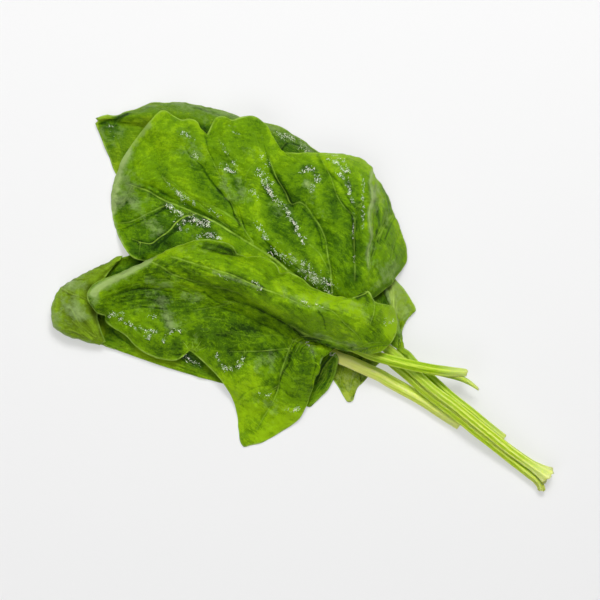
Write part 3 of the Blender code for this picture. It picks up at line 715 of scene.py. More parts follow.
ROLLED_ROWS = 130
ROLL_ROWS = 35
FLAP_ROWS = 30
ROLLED_COLUMNS = 130
FLAP_STARTS = 0.4
GROOVE_WIDTH = 1.3
# The height and the length of each finer wave.
FINE_PUCKERS = ((0.12, 3.6), (0.045, 1.8))
# Drops on a square metre of wet leaf, and their smallest and largest radius in metres.
DROP_INPUTS = {"Density": 13.0e6, "Smallest": 0.00006, "Largest": 0.00015}


def rolled_over(line, outermost, free_edge, radius, lift):
    """The line carried up round a roll that reaches outermost, and back over itself to the free edge."""
    outward = np.array(outermost, float) - free_edge
    outward /= np.linalg.norm(outward)
    foot = line[-1]
    turned = []
    for angle in np.linspace(0.0, math.pi, ROLL_ROWS + 1)[1:]:
        out = outward * radius * math.sin(angle)
        turned.append((foot[0] + out[0], foot[1] + out[1], foot[2] + radius * (1 - math.cos(angle))))
    top = np.array(turned[-1])
    end = np.array((*free_edge, top[2] + lift))
    for share in evenly(FLAP_ROWS + 1)[1:]:
        arch = (0, 0, 0.6 * radius * math.sin(math.pi * share) * (1 - share))
        turned.append(top + (end - top) * share + arch)
    return np.concatenate([line, turned])


def vein_groove(vein):
    """How deep each point is in the groove of a vein, from 0 to 1."""
    strongest, nearest = vein
    return strongest * np.exp(-((nearest / GROOVE_WIDTH) ** 2))


def puckers(grid, height, size, seed):
    """The wrinkles of a leaf: broad ones of the given height, with finer ones on them."""
    total = height * wrinkles(grid, size, seed)
    for k, (fine_height, fine_size) in enumerate(FINE_PUCKERS):
        total += fine_height * wrinkles(grid, fine_size, seed + 1 + k)
    return total


def water_material():
    """Water drops with a pale to near-white colour: a painted glint, standing in for the light they catch.
    """
    material, tree, surface = new_skin("water_drops")
    share = maths(tree, "ADD", noise(tree, 700.0, 0.8), 0.5)
    # The pale to near-white base colour is painted glint.
    filled(tree, surface, {
        "Base Color": ramp(tree, share, [(0.25, (0.38, 0.56, 0.22)), (0.65, (1.0, 1.0, 0.84))]),
        "Roughness": maths(tree, "ADD", noise(tree, 900.0, 0.02), 0.05),
        "Normal": bumped(tree, noise(tree, 1200.0, 0.5), strength=0.3, distance=0.0001),
        "IOR": 1.45,
    })
    return material


def made_by(tree, kind, inputs, settings=None, output=0):
    """What a node gives for its inputs."""
    return add_node(tree, kind, settings, inputs).outputs[output]


def drops_on(leaf, seed):
    """Small water drops strewn over the wet parts of a leaf."""
    tree = bpy.data.node_groups.new("water_drops", "GeometryNodeTree")
    tree.interface.new_socket("Leaf", in_out="INPUT", socket_type="NodeSocketGeometry")
    identifiers = {}
    for label in (*DROP_INPUTS, "Seed"):
        kind = "NodeSocketInt" if label == "Seed" else "NodeSocketFloat"
        identifiers[label] = tree.interface.new_socket(label, in_out="INPUT", socket_type=kind).identifier
    tree.interface.new_socket("Drops", in_out="OUTPUT", socket_type="NodeSocketGeometry")
    given = add_node(tree, "NodeGroupInput").outputs
    wet = made_by(tree, "GeometryNodeInputNamedAttribute", {"Name": "wet"}, {"data_type": "FLOAT"})
    place = add_node(tree, "GeometryNodeInputPosition").outputs[0]
    gathered = remapped(tree, noise(tree, 800.0, 1.0, 3.0, place), 0.02, 0.12, 0.0, 1.0)
    wetter = times(tree, maths(tree, "POWER", wet, 1.6), gathered)
    crowd = times(tree, wetter, given["Density"])
    strewn = add_node(tree, "GeometryNodeDistributePointsOnFaces", {"distribute_method": "RANDOM"},
                      {"Mesh": given["Leaf"], "Density": crowd, "Seed": given["Seed"]}).outputs
    bead = made_by(tree, "GeometryNodeMeshUVSphere", {"Segments": 6, "Rings": 4, "Radius": 1.0})
    bead = made_by(tree, "GeometryNodeTransform", {"Geometry": bead, "Scale": (1.0, 1.0, 0.45)})
    bead = made_by(tree, "GeometryNodeSetShadeSmooth", {"Geometry": bead})
    sizes = {2: given["Smallest"], 3: given["Largest"], "Seed": given["Seed"]}
    size = made_by(tree, "FunctionNodeRandomValue", sizes, {"data_type": "FLOAT"}, output=1)
    stretches = {0: (0.8, 0.6, 0.8), 1: (4.6, 0.9, 1.1)}
    stretch = made_by(tree, "FunctionNodeRandomValue", stretches, {"data_type": "FLOAT_VECTOR"})
    sized = vector_maths(tree, "SCALE", {0: stretch, "Scale": size})
    drops = made_by(tree, "GeometryNodeInstanceOnPoints", {
        "Points": strewn["Points"], "Instance": bead, "Rotation": strewn["Rotation"], "Scale": sized,
    })
    turns = {0: (0.0, 0.0, 0.0), 1: (0.0, 0.0, 2 * math.pi)}
    spin = made_by(tree, "FunctionNodeRandomValue", turns, {"data_type": "FLOAT_VECTOR"})
    drops = made_by(tree, "GeometryNodeRotateInstances", {"Instances": drops, "Rotation": spin})
    drops = made_by(tree, "GeometryNodeRealizeInstances", {"Geometry": drops})
    drops = made_by(tree, "GeometryNodeSetMaterial", {"Geometry": drops, "Material": water})
    add_node(tree, "NodeGroupOutput", None, {0: drops})

    source = bpy.data.objects.new(leaf.name + "_wet", leaf.data)
    bpy.context.scene.collection.objects.link(source)
    modifier = source.modifiers.new("drops", "NODES")
    modifier.node_group = tree
    for label, value in {**DROP_INPUTS, "Seed": seed}.items():
        modifier[identifiers[label]] = value
    evaluated = source.evaluated_get(bpy.context.evaluated_depsgraph_get())
    mesh = bpy.data.meshes.new_from_object(evaluated)
    bpy.data.objects.remove(source)
    piece = bpy.data.objects.new(leaf.name.replace("blade", "drops"), mesh)
    bpy.context.scene.collection.objects.link(piece)
    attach(piece, "root")


water = water_material()

rolled_lower = long_line(
    [(10.6, -21.4, 5.0), (13.6, -20.8, 5.4), (15.2, -23, 6.2), (14.9, -26, 5.2), (14.4, -29, 2.6),
     (13.2, -32.2, 0.8), (11.3, -35.6, 0.8), (8.1, -38.9, 0.6), (5.6, -41.4, 0.6), (4, -42.8, 0.6),
     (1.6, -42, 0.6), (-6, -39, 0.8), (-18, -36, 1.0), (-31, -33.3, 1.0), (-44, -29.8, 1.0),
     (-60, -24.7, 1.2), (-72, -20.3, 1.6),
     (-78.6, -17.3, 2.2)],
    ROLLED_ROWS, even=0.1, ease=1.25,
)
rolled_south = long_line(
    [(9.8, -22), (-6, -28), (-28, -27), (-50, -22), (-70, -17), (-84, -14), (-92.1, -12.6)],
    ROLLED_ROWS, rise=(5, 4, 3.2, 2.6, 2.2, 1.6, 1.0), ease=1.2,
)
rolled_rib = long_line(
    [(10.4, -20.8), (-4, -20), (-24, -18), (-48, -14), (-72, -9.6), (-86, -6.8), (-94, -5.8)],
    ROLLED_ROWS, rise=(5.2, 4.8, 4.2, 3.6, 3.0, 2.2, 1.0), ease=1.3,
)
rolled_middle = long_line(
    [(11, -19.4), (-4, -14), (-24, -8), (-44, -1), (-66, 3), (-82, 3.4), (-91.8, 2.8)],
    ROLLED_ROWS, rise=(5, 4, 3.4, 2.8, 2.4, 1.6, 1.0), ease=1.2,
)
rolled_fold = long_line(
    [(12, -18), (-4, -9), (-24, 1), (-44, 8), (-60, 11.8), (-72, 12.2), (-82, 10)],
    ROLLED_ROWS, rise=(5, 4, 3, 2.4, 2, 1.6, 1.0), ease=1.1,
)
rolled_rim = long_line(
    [(13, -17), (-4, -6), (-24, 5), (-44, 13), (-57, 18.4), (-65, 18.8), (-71, 16.9)],
    ROLLED_ROWS, rise=(5, 5, 4, 3.6, 3.4, 3.2, 3.0), ease=1.1,
)
rolled_flat = loft([
    rolled_over(rolled_lower, (-80.2, -17.7), (-77.4, -16.6), 1.5, 0.6),
    rolled_over(rolled_south, (-95.8, -12.8), (-79, -12.4), 3.6, -1.0),
    rolled_over(rolled_rib, (-98, -5.6), (-80.4, -6.4), 4.8, -1.6),
    rolled_over(rolled_middle, (-95.8, 2.6), (-80, 1.2), 4.5, -1.2),
    rolled_over(rolled_fold, (-84.4, 10), (-77.6, 8.6), 3.2, -0.4),
    rolled_over(rolled_rim, (-72, 17), (-72.4, 15.8), 0.8, 0.3),
], ROLLED_COLUMNS)
on_flap = (np.arange(len(rolled_flat)) > ROLLED_ROWS + ROLL_ROWS * FLAP_STARTS)[:, None] * 1.0
on_sheet = 1.0 - on_flap
FLAP_VEINS = {
    (0.5, 0.4): [
        [(-97, 3.6), (-96, 1.6), (-94, 0)], [(-90.4, -8), (-86.4, -11.6), (-82.4, -16)],
        [(-87.2, -5.6), (-83.2, -10), (-79.6, -15.6)],
    ],
    (0.8, 0.55): [[(-98, -6.4), (-91.2, -3.2), (-88, -8.8), (-84.8, -12), (-80.8, -15.2)]],
    (0.7, 0.45): [[(-95.2, 4.8), (-91, 2.4), (-86, 0.8), (-83, -1)]],
    (0.6, 0.4): [[(-94, 6), (-90, 8), (-84, 8.4)], [(-97, -12), (-91, -11.6), (-86, -14.4)]],
}
FLAP_CREASES = {
    (0.35, 0.5): [[(-96.8, 3.2), (-97.2, -1.2), (-97.2, -5.6), (-96, -9.6)]],
    (0.5, 0.4): [
        [(-94.4, 4.8), (-92, 2.4), (-87.2, 1.2), (-84, -1.6)],
        [(-93.6, -13.6), (-89.6, -12.8), (-84.8, -14.8), (-81.6, -16.8)],
    ],
    (0.4, 0.4): [[(-89.6, -4.8), (-85.6, -8.8), (-81.6, -14.4)]],
}
# Painted light and painted shade on the turned-up flap: light and dark patches for how its folds and turned
# edges are lit.
FLAP_TONES = {
    (-0.8, 1.2): [[(-93.6, 7.2), (-91.2, 8.8)]],
    (0.5, 1.2): [[(-76.8, 12.8), (-73.6, 15.2)]],
    (-0.6, 1.4): [[(-90.4, 4.8), (-89.6, 0), (-90.4, -5.6)]],
    (-0.4, 1.2): [[(-85.6, -8.8), (-83.2, -13.6)]],
    (-0.2, 1.3): [[(-76.8, 10.4), (-73.6, 14.4)]],
    (-0.7, 1.2): [[(-86.4, 4.8), (-84.8, 1.2)]],
    (0.6, 2.6): [[(-84.4, 7.2), (-80.4, 10.8)]],
    (0.6, 1): [[(-83.2, -8.8), (-80.8, -13.6), (-79.2, -16)]],
    (0.5, 0.8): [[(-89.6, -7.2), (-86.4, -11.2), (-83.2, -15.2)]],
    (0.4, 0.8): [[(-96, 0), (-96.8, -6.4), (-95.2, -11.2)]],
    (1.2, 2.6): [
        [(-97.2, 4.4), (-99.2, -1.6), (-99.2, -7.2), (-97.2, -12.8), (-90, -16.4), (-81.6, -18.4)],
    ],
    (-0.6, 2.4): [[(-89.6, 4.4), (-90.8, -0.8), (-89.2, -6.4)], [(-84, 6.4), (-81.2, 10.8), (-76.8, 14.4)]],
    (0.7, 2.2): [[(-90, 3), (-84.5, 0)]],
    (0.6, 1.6): [[(-87, -12), (-84, -15)]],
    (0.2, 3.0): [[(-81, 11), (-75, 14)]],
    (-2.0, 1.5): [[(-83.6, 4.8), (-82.4, 0), (-80.8, -5.2), (-79.2, -10), (-78, -15.2)]],
    (-0.4, 0.9): [[(-95.8, 0), (-93.6, -2.4)]],
    (-0.35, 1.0): [[(-92, -6), (-90, -8)]],
}
# Pale patches: painted sheen on the flap, and painted light along its rounded left edge, which turns away
# from the lamps.
FLAP_PAINTED_SHEEN = {
    (0.75, 3.6): [[(-96, -7.2), (-91.2, -3.2), (-88, -6.4)]],
    (0.65, 3.0): [[(-92, 6.4), (-88, 6.4)]],
    (0.6, 2.4): [[(-92.5, 6), (-87, 7)]],
    (0.7, 2.8): [[(-86.4, -5.5)]],
    (1.5, 1.7): [[(-98.4, 3), (-100, -2), (-99.8, -7), (-97.6, -12), (-92, -15.4), (-84, -17.6)]],
    (0.5, 1.0): [[(-95.2, 3.8), (-94.4, 0)]],
    (0.4, 4.5): [[(-90, -2)]],
}
ROLLED_VEINS = {
    (0.8, 0.5): [[(13.2, -22.4), (10.4, -25.6), (8.4, -29.2), (6.8, -33.6)]],
    (0.6, 0.4): [[(11.2, -24.8), (10, -30.4), (6, -36.8)]],
    (0.5, 0.4): [[(13.6, -24.8), (12.4, -30.4), (9.6, -36)]],
    (0.3, 0.4): [[(-76, -18.4), (-60, -20.8), (-44, -27.2)], [(-48, -22.4), (-42, -26.4), (-34, -30.4)]],
}
ROLLED_CREASES = {
    (0.8, 0.6): [[(11.6, -23.2), (8.8, -26.8), (6.8, -31.2)]],
    (0.6, 0.5): [[(12.4, -26.4), (10.8, -32), (7.2, -37.2)]],
    (0.6, 0.6): [[(-68, -20), (-56, -24), (-42, -28.8)]],
    (0.5, 0.5): [[(-75.2, -12), (-72, -15.2), (-68, -17.6)]],
}
# Painted light and painted shade on the lower sheet: light and dark patches for how it is lit, darker in
# the gaps under the other leaves.
ROLLED_TONES = {
    (0.8, 1.2): [[(-64, -21.6), (-56, -24.4)], [(-40, -30.4), (-34.4, -32.4)]],
    (-0.5, 1): [[(-76.8, -15.6), (-72, -18)]],
    (0.7, 1.6): [
        [(-64, -20.8), (-54, -24.4)], [(-80.8, -7.2), (-78.8, -12.8)],
        [(-64.8, -20.8), (-54, -24.4), (-41.6, -27.6)],
    ],
    (0.5, 1.4): [[(-41.6, -23.2), (-37.6, -27.2)]],
    (0.8, 1.6): [[(-80.8, -7.2), (-78.8, -12.8)]],
    (-1.3, 3.0): [[(-72, 9), (-66, 12), (-62, 15)]],
    (0.45, 2.0): [[(-70, 12.6), (-67.5, 13.6)]],
    (-0.1, 3.4): [[(-77, -10), (-72, -15)]],
    (-0.9, 3.0): [[(-46, -22), (-40, -25.5)]],
    (-0.6, 4.0): [[(6, -24), (8, -32)]],
    (0.6, 2.2): [[(-74, -17.4), (-66, -20.5), (-50, -26)]],
    (0.5, 0.9): [[(10.5, -24), (9.5, -31), (7, -37)]],
}
ROLLED_WET = {
    (0.9, 1.6): [[(10, -20), (13, -22)]],
    (0.7, 1.0): [[(-46, -22.5), (-41, -26)]],
}
FLAP_RELIEF = {
    (0.7, 2.6): [[(-92, 4), (-87, -6), (-90, -11)]],
}
flap_relief = drawn(rolled_flat, FLAP_RELIEF, on_flap)
rolled_vein, rolled_crease = (
    [np.where(on_flap, *pair) for pair in zip(veined(rolled_flat, flap), veined(rolled_flat, sheet))]
    for flap, sheet in ((FLAP_VEINS, ROLLED_VEINS), (FLAP_CREASES, ROLLED_CREASES))
)
rolled_relief = puckers(rolled_flat, height=0.22, size=8.0, seed=11)
rolled_relief -= 0.5 * flap_relief + 0.35 * vein_groove(rolled_vein)
rolled_laid = laid_down(rolled_flat, rolled_relief)
rolled_fields = {
    "tone": drawn(rolled_laid, FLAP_TONES, on_flap) + drawn(rolled_laid, ROLLED_TONES, on_sheet),
    "painted_sheen": 0.6 * drawn(rolled_laid, FLAP_PAINTED_SHEEN, on_flap),
    "wet": np.clip(drawn(rolled_laid, ROLLED_WET, on_sheet), 0, 1),
}
rolled_skin = leaf_material(
    "rolled_leaf_skin", deep=(0.018, 0.060, 0.001), dark=(0.05, 0.14, 0.001), fresh=(0.14, 0.29, 0.002),
    bright=(0.27, 0.47, 0.006), back=(0.195, 0.33, 0.008), vein=(0.32, 0.48, 0.04),
    painted_sheen=(0.29, 0.41, 0.15), rim_highlight=(0.30, 0.50, 0.06),
)
rolled_blade = blade_piece(
    "rolled_leaf_blade", rolled_laid, rolled_vein, rolled_crease, rolled_fields, rolled_skin,
)
hand_in(rolled_blade, "rolled_blade")
drops_on(rolled_blade, seed=3)

ROLLED_STALK = [
    (15.4, -23, 5.9), (20, -24.8, 5.4), (24, -26.6, 5.0), (28, -28.4, 4.5), (32, -30.2, 3.5),
    (36, -32.6, 2.9), (40, -34.8, 2.7), (48, -39.2, 2.7), (56, -44.4, 2.7), (64, -49.5, 2.7),
]
# Its leafward colour, nearly white, is painted light that lifts the start of the stalk out of the shade of
# the front leaf and its stalk.
rolled_flesh = stem_material(
    "rolled_leaf_stalk", groove=(0.56, 0.70, 0.06), flesh=(0.69, 0.82, 0.14), crest=(0.80, 0.88, 0.26),
    end=(0.76, 0.84, 0.30), leafward=(0.96, 1.0, 0.30), leaf_from=34.0, leaf_to=54.0,
)
centres, radii = stem_course(rolled_laid, ROLLED_STALK, rib_column=52, reach=0.55, radius=2.6)
rolled_tube = stalk_tube(centres, radii, ridges=5, depth=0.08, torn=0.0, seed=3)
hand_in(stem_piece("rolled_leaf_stem", [rolled_tube], rolled_flesh), "rolled_stem")

# The back leaf
# The largest leaf, under the broad one. It grew as one smooth, darker blade. Its tip is at the left with
# a folded edge, and a lobe of its base comes out at the right beside the stalks.

back_rows = CAD_ROWS * 5


def patches_of(laid, tones, painted_sheen, wet, tone_share, sheen_share):
    """The painted light and shade patches of a blade, its painted sheen and its wet parts."""
    return {
        "tone": tone_share * drawn(laid, tones),
        "painted_sheen": sheen_share * drawn(laid, painted_sheen),
        "wet": np.clip(drawn(laid, wet), 0, 1),
    }


back_far = long_line(
    [(40.2, -18), (39.8, -14), (41.6, -9.8), (44.4, -6.2), (46.2, -4.4), (44.4, 0), (41.2, 4.8),
     (38, 8.4), (34.8, 20), (28.8, 35.2), (19.8, 50.2), (7, 59.5), (-1.2, 65.3), (-9.4, 69.9),
     (-20, 71.9), (-32, 76), (-40, 77.8), (-48, 79.1), (-54, 79.6), (-60, 78.4), (-66, 75.8),
     (-72.4, 74.3), (-78.6, 73.5), (-81.6, 72.6)],
    back_rows, rise=(2.4, 2.0, 1.2, 0.6, 0.4, 0.4, 0.4, 0.4, 3.0),
)
back_shoulder = long_line(
    [(41.2, -18.2), (38, -6), (34, 6), (29, 20), (22, 34), (10, 48), (-4, 58), (-20, 66),
     (-38, 71.5), (-54, 74), (-68, 73.5), (-80.9, 71.9)],
    back_rows, rise=(2.4, 3.4, 6, 7, 7, 8, 8, 7, 2.5), ease=1.3,
)
back_rib = long_line(
    [(40.8, -18.8), (35.2, -2), (20.8, 16.8), (0, 35.2), (-24, 52), (-48, 63.6), (-68, 69.6),
     (-80.8, 71.4)],
    back_rows, rise=(2.6, 4.8, 4.4, 3.4, 2.8, 2.4, 2.0), ease=1.8,
)
back_near = long_line(
    [(38.8, -19.5), (36.2, -17.8), (32, -13.8), (16, -7.2), (-8, 4), (-32, 16.8), (-52, 31.2),
     (-67.2, 43.2), (-74, 51.2), (-76.6, 58), (-79.4, 64.8), (-81.8, 70.6)],
    back_rows, rise=(2.8, 3.8, 1.8, 0.8, 0.6, 0.4, 0.4, 1.5),
)
back_flat = loft([
    back_near, between(back_near, back_rib, 0.5, 3.0), back_rib,
    between(back_rib, back_shoulder, 0.5, 1.0), back_shoulder, back_far,
], columns=130)
BACK_VEINS = {
    (0.8, 0.4): [[(39.2, -4), (38.8, -8.8), (38, -14.4)], [(41.6, -7.6), (40.4, -12), (40, -16.8)]],
    (0.5, 0.5): [
        [(35.2, 5.6), (35.6, 1.2), (36, -3.2)], [(43.6, -5.2), (41.6, -8.8), (40.4, -13.6)],
        [(-30, 66), (-31.6, 72.4), (-33.6, 74.4), (-37, 75.4)], [(35, 7), (34.2, 0)],
    ],
    (0.35, 0.4): [[(-70, 74), (-72.8, 71.2), (-76, 67.6)]],
    (0.6, 0.5): [[(-80.4, 72), (-75.2, 73.6), (-68.4, 75.6)]],
    (0.3, 0.45): [[(-58, 66), (-62, 71), (-66, 74)]],
    (0.35, 0.45): [[(-72, 52), (-71, 60), (-73, 66)]],
    (0.3, 0.5): [[(-8, 60), (-4, 64), (0, 65)]],
    (0.5, 0.6): [[(39, -16), (39.6, -8), (42, -2), (42.6, 2)]],
}
BACK_CREASES = {
    (0.9, 0.45): [[(35.2, 4.8), (35.2, 1.6), (35, -2)]],
    (1, 0.5): [[(42.8, -6), (40.8, -10), (40, -14.8), (40, -18.4)]],
    (0.8, 0.4): [[(37.6, 4.8), (38.4, 0), (37.6, -5.6)], [(36.8, 4.8), (36.8, 0), (36.8, -4.8)]],
    (0.7, 0.4): [[(34.4, 4), (35.2, 0), (36, -4.8)]],
    (0.9, 0.5): [[(34, 4.8), (34.4, 1.2), (35.2, -3.2)]],
    (0.9, 0.6): [[(42, -6.8), (40.4, -10.4), (39.6, -14.4), (39.2, -18.4)]],
    (0.6, 0.4): [[(38.8, -5.6), (38, -11.2), (37.6, -16)]],
    (1, 0.7): [[(-80.4, 70.4), (-75.2, 71.8), (-68.4, 74)]],
    (0.5, 0.6): [[(-45.6, 78.4), (-38.4, 76), (-31.2, 73.6)]],
    (0.7, 0.7): [[(-8, 59.2), (-4.8, 62.4), (0, 61.2)]],
    (0.5, 0.5): [[(-12.8, 71.6), (-7.2, 69.2), (-1.6, 65.6)]],
}
# Painted light and painted shade on the blade: light and dark patches for how it is lit, brightest on the
# lobe that lies in the broad leaf's shade.
BACK_TONES = {
    (0.5, 4): [[(38.4, 5.6), (40.8, 0)]],
    (0.9, 4): [[(37.6, 4.8), (40.4, 0), (40.8, -7.2)]],
    (0.8, 1.2): [[(33.6, 6.4), (34.8, 1.6), (36.4, -3.2)]],
    (1, 1.6): [[(36, 6.4), (36.8, 0.8), (38.4, -4.8)], [(-20.8, 74.4), (-16, 71.2)]],
    (0.6, 1): [[(37.6, -1.6), (38.8, -7.2)]],
    (1, 1.4): [[(-75.2, 74.4), (-68.8, 76.8)], [(-80.8, 70.4), (-76.8, 72)]],
    (-0.6, 1.2): [[(-37.6, 78), (-31.2, 75.6)], [(-74.4, 65.6), (-74.4, 62.4)]],
    (-0.8, 1.2): [[(-27.2, 73.6), (-23.2, 73.6)]],
    (1.2, 1.2): [[(38.4, -7.2), (38.8, -12), (39.6, -17.6)]],
    (0.8, 1.6): [[(-21.2, 74.8), (-16.4, 71.2)]],
    (0.7, 1.2): [[(-80.8, 71.2), (-76.8, 73.2)]],
    (0.8, 1): [[(-72.8, 76), (-68.8, 77.2)]],
    (0.9, 1.3): [[(-75.2, 74.8), (-70.4, 76), (-66.4, 77.2)]],
    (0.7, 2.2): [[(-68.8, 71.2), (-60, 71.6)]],
    (0.7, 1.4): [[(-21.2, 75.2), (-16.4, 72.4)]],
    (1.1, 2.2): [[(-73.6, 62.8), (-72, 56.8), (-73.2, 51.2)]],
    (-0.8, 1.4): [[(-78.4, 69.6), (-73.6, 68.8)]],
    (0.5, 1.4): [[(-67.2, 60.8), (-65.6, 63.2)]],
    (1.5, 1): [[(40.4, -12), (40.8, -18.8)]],
    (-0.8, 0.9): [[(-79.5, 71), (-74, 72), (-68.6, 74)]],
    (0.9, 0.6): [[(-80, 72.6), (-74, 74.4), (-69, 76)]],
    (-1.0, 2.6): [[(-38, 67.5), (-36, 63)]],
    (-0.5, 3.4): [[(-8, 63), (-3, 59.5), (4, 57)]],
    (0.4, 5.0): [[(-66, 66), (-58, 72)]],
    (0.3, 4.0): [[(-50, 76), (-30, 73), (-10, 67)]],
    (-0.3, 6.0): [[(-74, 60), (-70, 54)]],
    (3.0, 3.2): [[(43, -4), (40.5, 1), (42, -8), (38, 6)]],
    (-1.0, 1.0): [[(45.4, -4), (44.4, -6)]],
    (0.5, 2.0): [[(38, 6), (37, 0)]],
    (-0.9, 2.0): [[(34, -2), (33.4, 4)]],
}
# Pale patches: painted sheen along the far edge, and painted light on the lobe beside the stalks, which
# lies in the broad leaf's shade.
BACK_PAINTED_SHEEN = {
    (1.2, 1.4): [[(35.6, 6), (36.4, 1.2), (38, -4.8)]],
    (0.75, 1.9): [
        [(-62, 77), (-54, 78.4), (-46, 78), (-36, 76), (-24, 73), (-12, 69), (0, 62.6), (5, 58.6)],
    ],
    (0.5, 2.4): [[(-72, 68.4), (-75, 62)]],
    (0.6, 1.0): [[(-78, 65), (-79.6, 69)]],
    (1.2, 4): [[(37, 6), (39.8, 1), (41.6, -5)]],
    (0.3, 6.0): [[(-44, 74), (-20, 69)]],
}
BACK_WET = {
    (0.5, 1.0): [[(-76, 69), (-75, 65)]],
    (0.9, 1.2): [[(-9, 66), (-6, 65.2), (-3, 64.4)]],
    (0.6, 1.2): [[(0, 62), (4, 58)]],
    (0.5, 1.2): [[(-78, 60), (-77, 57)]],
}
BACK_RELIEF = {
    (0.3, 0.9): [[(-80.4, 72.4), (-74, 74.4), (-69, 76.0)]],
    (-0.6, 1.0): [[(-78, 71.2), (-72, 73.2)]],
    (0.9, 1.4): [[(36.6, 6), (37, -4)]],
    (-0.4, 1.0): [[(41, -4), (39.4, -14)]],
}
back_vein = veined(back_flat, BACK_VEINS)
back_crease = veined(back_flat, BACK_CREASES)
back_relief = drawn(back_flat, BACK_RELIEF) + puckers(back_flat, height=0.35, size=13.0, seed=21)
back_relief -= 0.4 * vein_groove(back_vein) + 0.3 * vein_groove(back_crease)
back_laid = laid_down(back_flat, back_relief)
back_fields = patches_of(
    back_laid, BACK_TONES, BACK_PAINTED_SHEEN, BACK_WET, tone_share=0.8, sheen_share=0.6,
)
# The paler colour of thick sheen here is painted light on the lobe in the broad leaf's shade.
back_skin = leaf_material(
    "back_leaf_skin", deep=(0.012, 0.042, 0.0005), dark=(0.045, 0.13, 0.001), fresh=(0.125, 0.26, 0.002),
    bright=(0.27, 0.44, 0.008), vein=(0.24, 0.40, 0.05),
    painted_sheen=(0.29, 0.41, 0.15), pale=(0.54, 0.74, 0.16),
)
back_blade = blade_piece(
    "back_leaf_blade", back_laid, back_vein, back_crease, back_fields, back_skin,
)
hand_in(back_blade, "back_blade")
drops_on(back_blade, seed=4)

BACK_STALK = [
    (43, -22, 4.0), (45.7, -25.2, 4.2), (52.9, -31.6, 4.4), (60.2, -38.3, 4.2), (68.2, -44.7, 3.4),
    (76.2, -51.3, 2.8), (81.2, -55.2, 2.4),
]
# Its leafward colour, darker, is painted shade where the front stalk shades it.
back_flesh = stem_material(
    "back_leaf_stalk", groove=(0.22, 0.40, 0.004), flesh=(0.45, 0.64, 0.03), crest=(0.64, 0.78, 0.14),
    end=(0.64, 0.76, 0.22), leafward=(0.26, 0.43, 0.015), leaf_from=26.0, leaf_to=52.0,
)
centres, radii = stem_course(back_laid, BACK_STALK, rib_column=52, reach=0.8, radius=1.85)
back_tube = stalk_tube(centres, radii, ridges=6, depth=0.12, torn=0.5, seed=4)
hand_in(stem_piece("back_leaf_stem", [back_tube], back_flesh), "back_stem")

# The broad leaf
# The leaf in the middle: broad and puckered, with a lobed far edge, sunk veins that stand out light, and
# a right side that bends down over a shoulder. Its stalk is the longest, torn off a little ragged.

broad_rows = CAD_ROWS * 7
broad_lobed = long_line(
    [(20.8, -2.4), (28.8, 0.8), (34.4, 4.8), (39.2, 10), (42.4, 15.2), (42.8, 19.2),
     (41.2, 25.2), (38.8, 32), (36, 39.4), (33.2, 45.4), (30, 49), (28.8, 51.6),
     (27.2, 54.4), (21.6, 57.1), (16, 58), (10, 58.6), (3.2, 58.4), (-2, 58.4), (-7.6, 58.8),
     (-10, 60.8), (-11.6, 64.8), (-12.4, 68.4), (-15.2, 71.2), (-18.8, 73.2), (-22.8, 72.8),
     (-27.2, 71.6), (-30.4, 72.8), (-33.2, 72.4), (-35.6, 68.4), (-37.6, 65.2), (-38.8, 67.6),
     (-40.8, 70.8), (-44, 72), (-47.2, 71.6), (-50.8, 73.6), (-54.8, 75.2), (-58.4, 72.2),
     (-62.6, 67.6), (-67.2, 61.6), (-70.8, 56.2), (-72.4, 51.8), (-73.9, 47.4)],
    broad_rows, rise=(4, 0.5, 0.5, 1.0, 3, 2.5, 2, 1.5, 1.5, 1.5, 1.5, 1.0),
)
broad_shoulder = long_line(
    [(20, -2.6), (24.8, 0.5), (27.4, 6), (28.4, 16), (28.2, 26), (28.4, 38), (28.2, 47),
     (22, 52), (12, 53.5), (0, 52), (-12, 55), (-22, 61), (-32, 61), (-42, 62), (-52, 65),
     (-59, 60), (-67, 52.6), (-74.7, 45)],
    broad_rows, rise=(5, 8, 9, 9, 7, 5, 4, 4, 4, 3.5, 2.5), ease=1.15,
)
broad_rib = long_line(
    [(18, -3.2), (7.2, 3.6), (-3.6, 10.8), (-10.4, 16.4), (-18.8, 22.8), (-36, 32),
     (-55.6, 39.4), (-68, 42), (-75.4, 42)],
    broad_rows, rise=(5.5, 4.5, 3.5, 3.0, 2.6, 2.2, 2.0), ease=2.6,
)
broad_near = long_line(
    [(15.2, -4.4), (4, -5), (-12, -1), (-28, 6), (-44, 11.2), (-58, 15.2), (-67, 17.2),
     (-70.8, 22.2), (-73.4, 27.6), (-74.8, 33), (-75.2, 37)],
    broad_rows, rise=(5, 2, 1.5, 1.5, 1.0, 0.6, 0.5, 0.5),
)
broad_flat = loft([
    broad_near, between(broad_near, broad_rib, 0.5, 4.0), broad_rib,
    between(broad_rib, broad_shoulder, 0.5, 3.0), broad_shoulder, broad_lobed,
], columns=170)
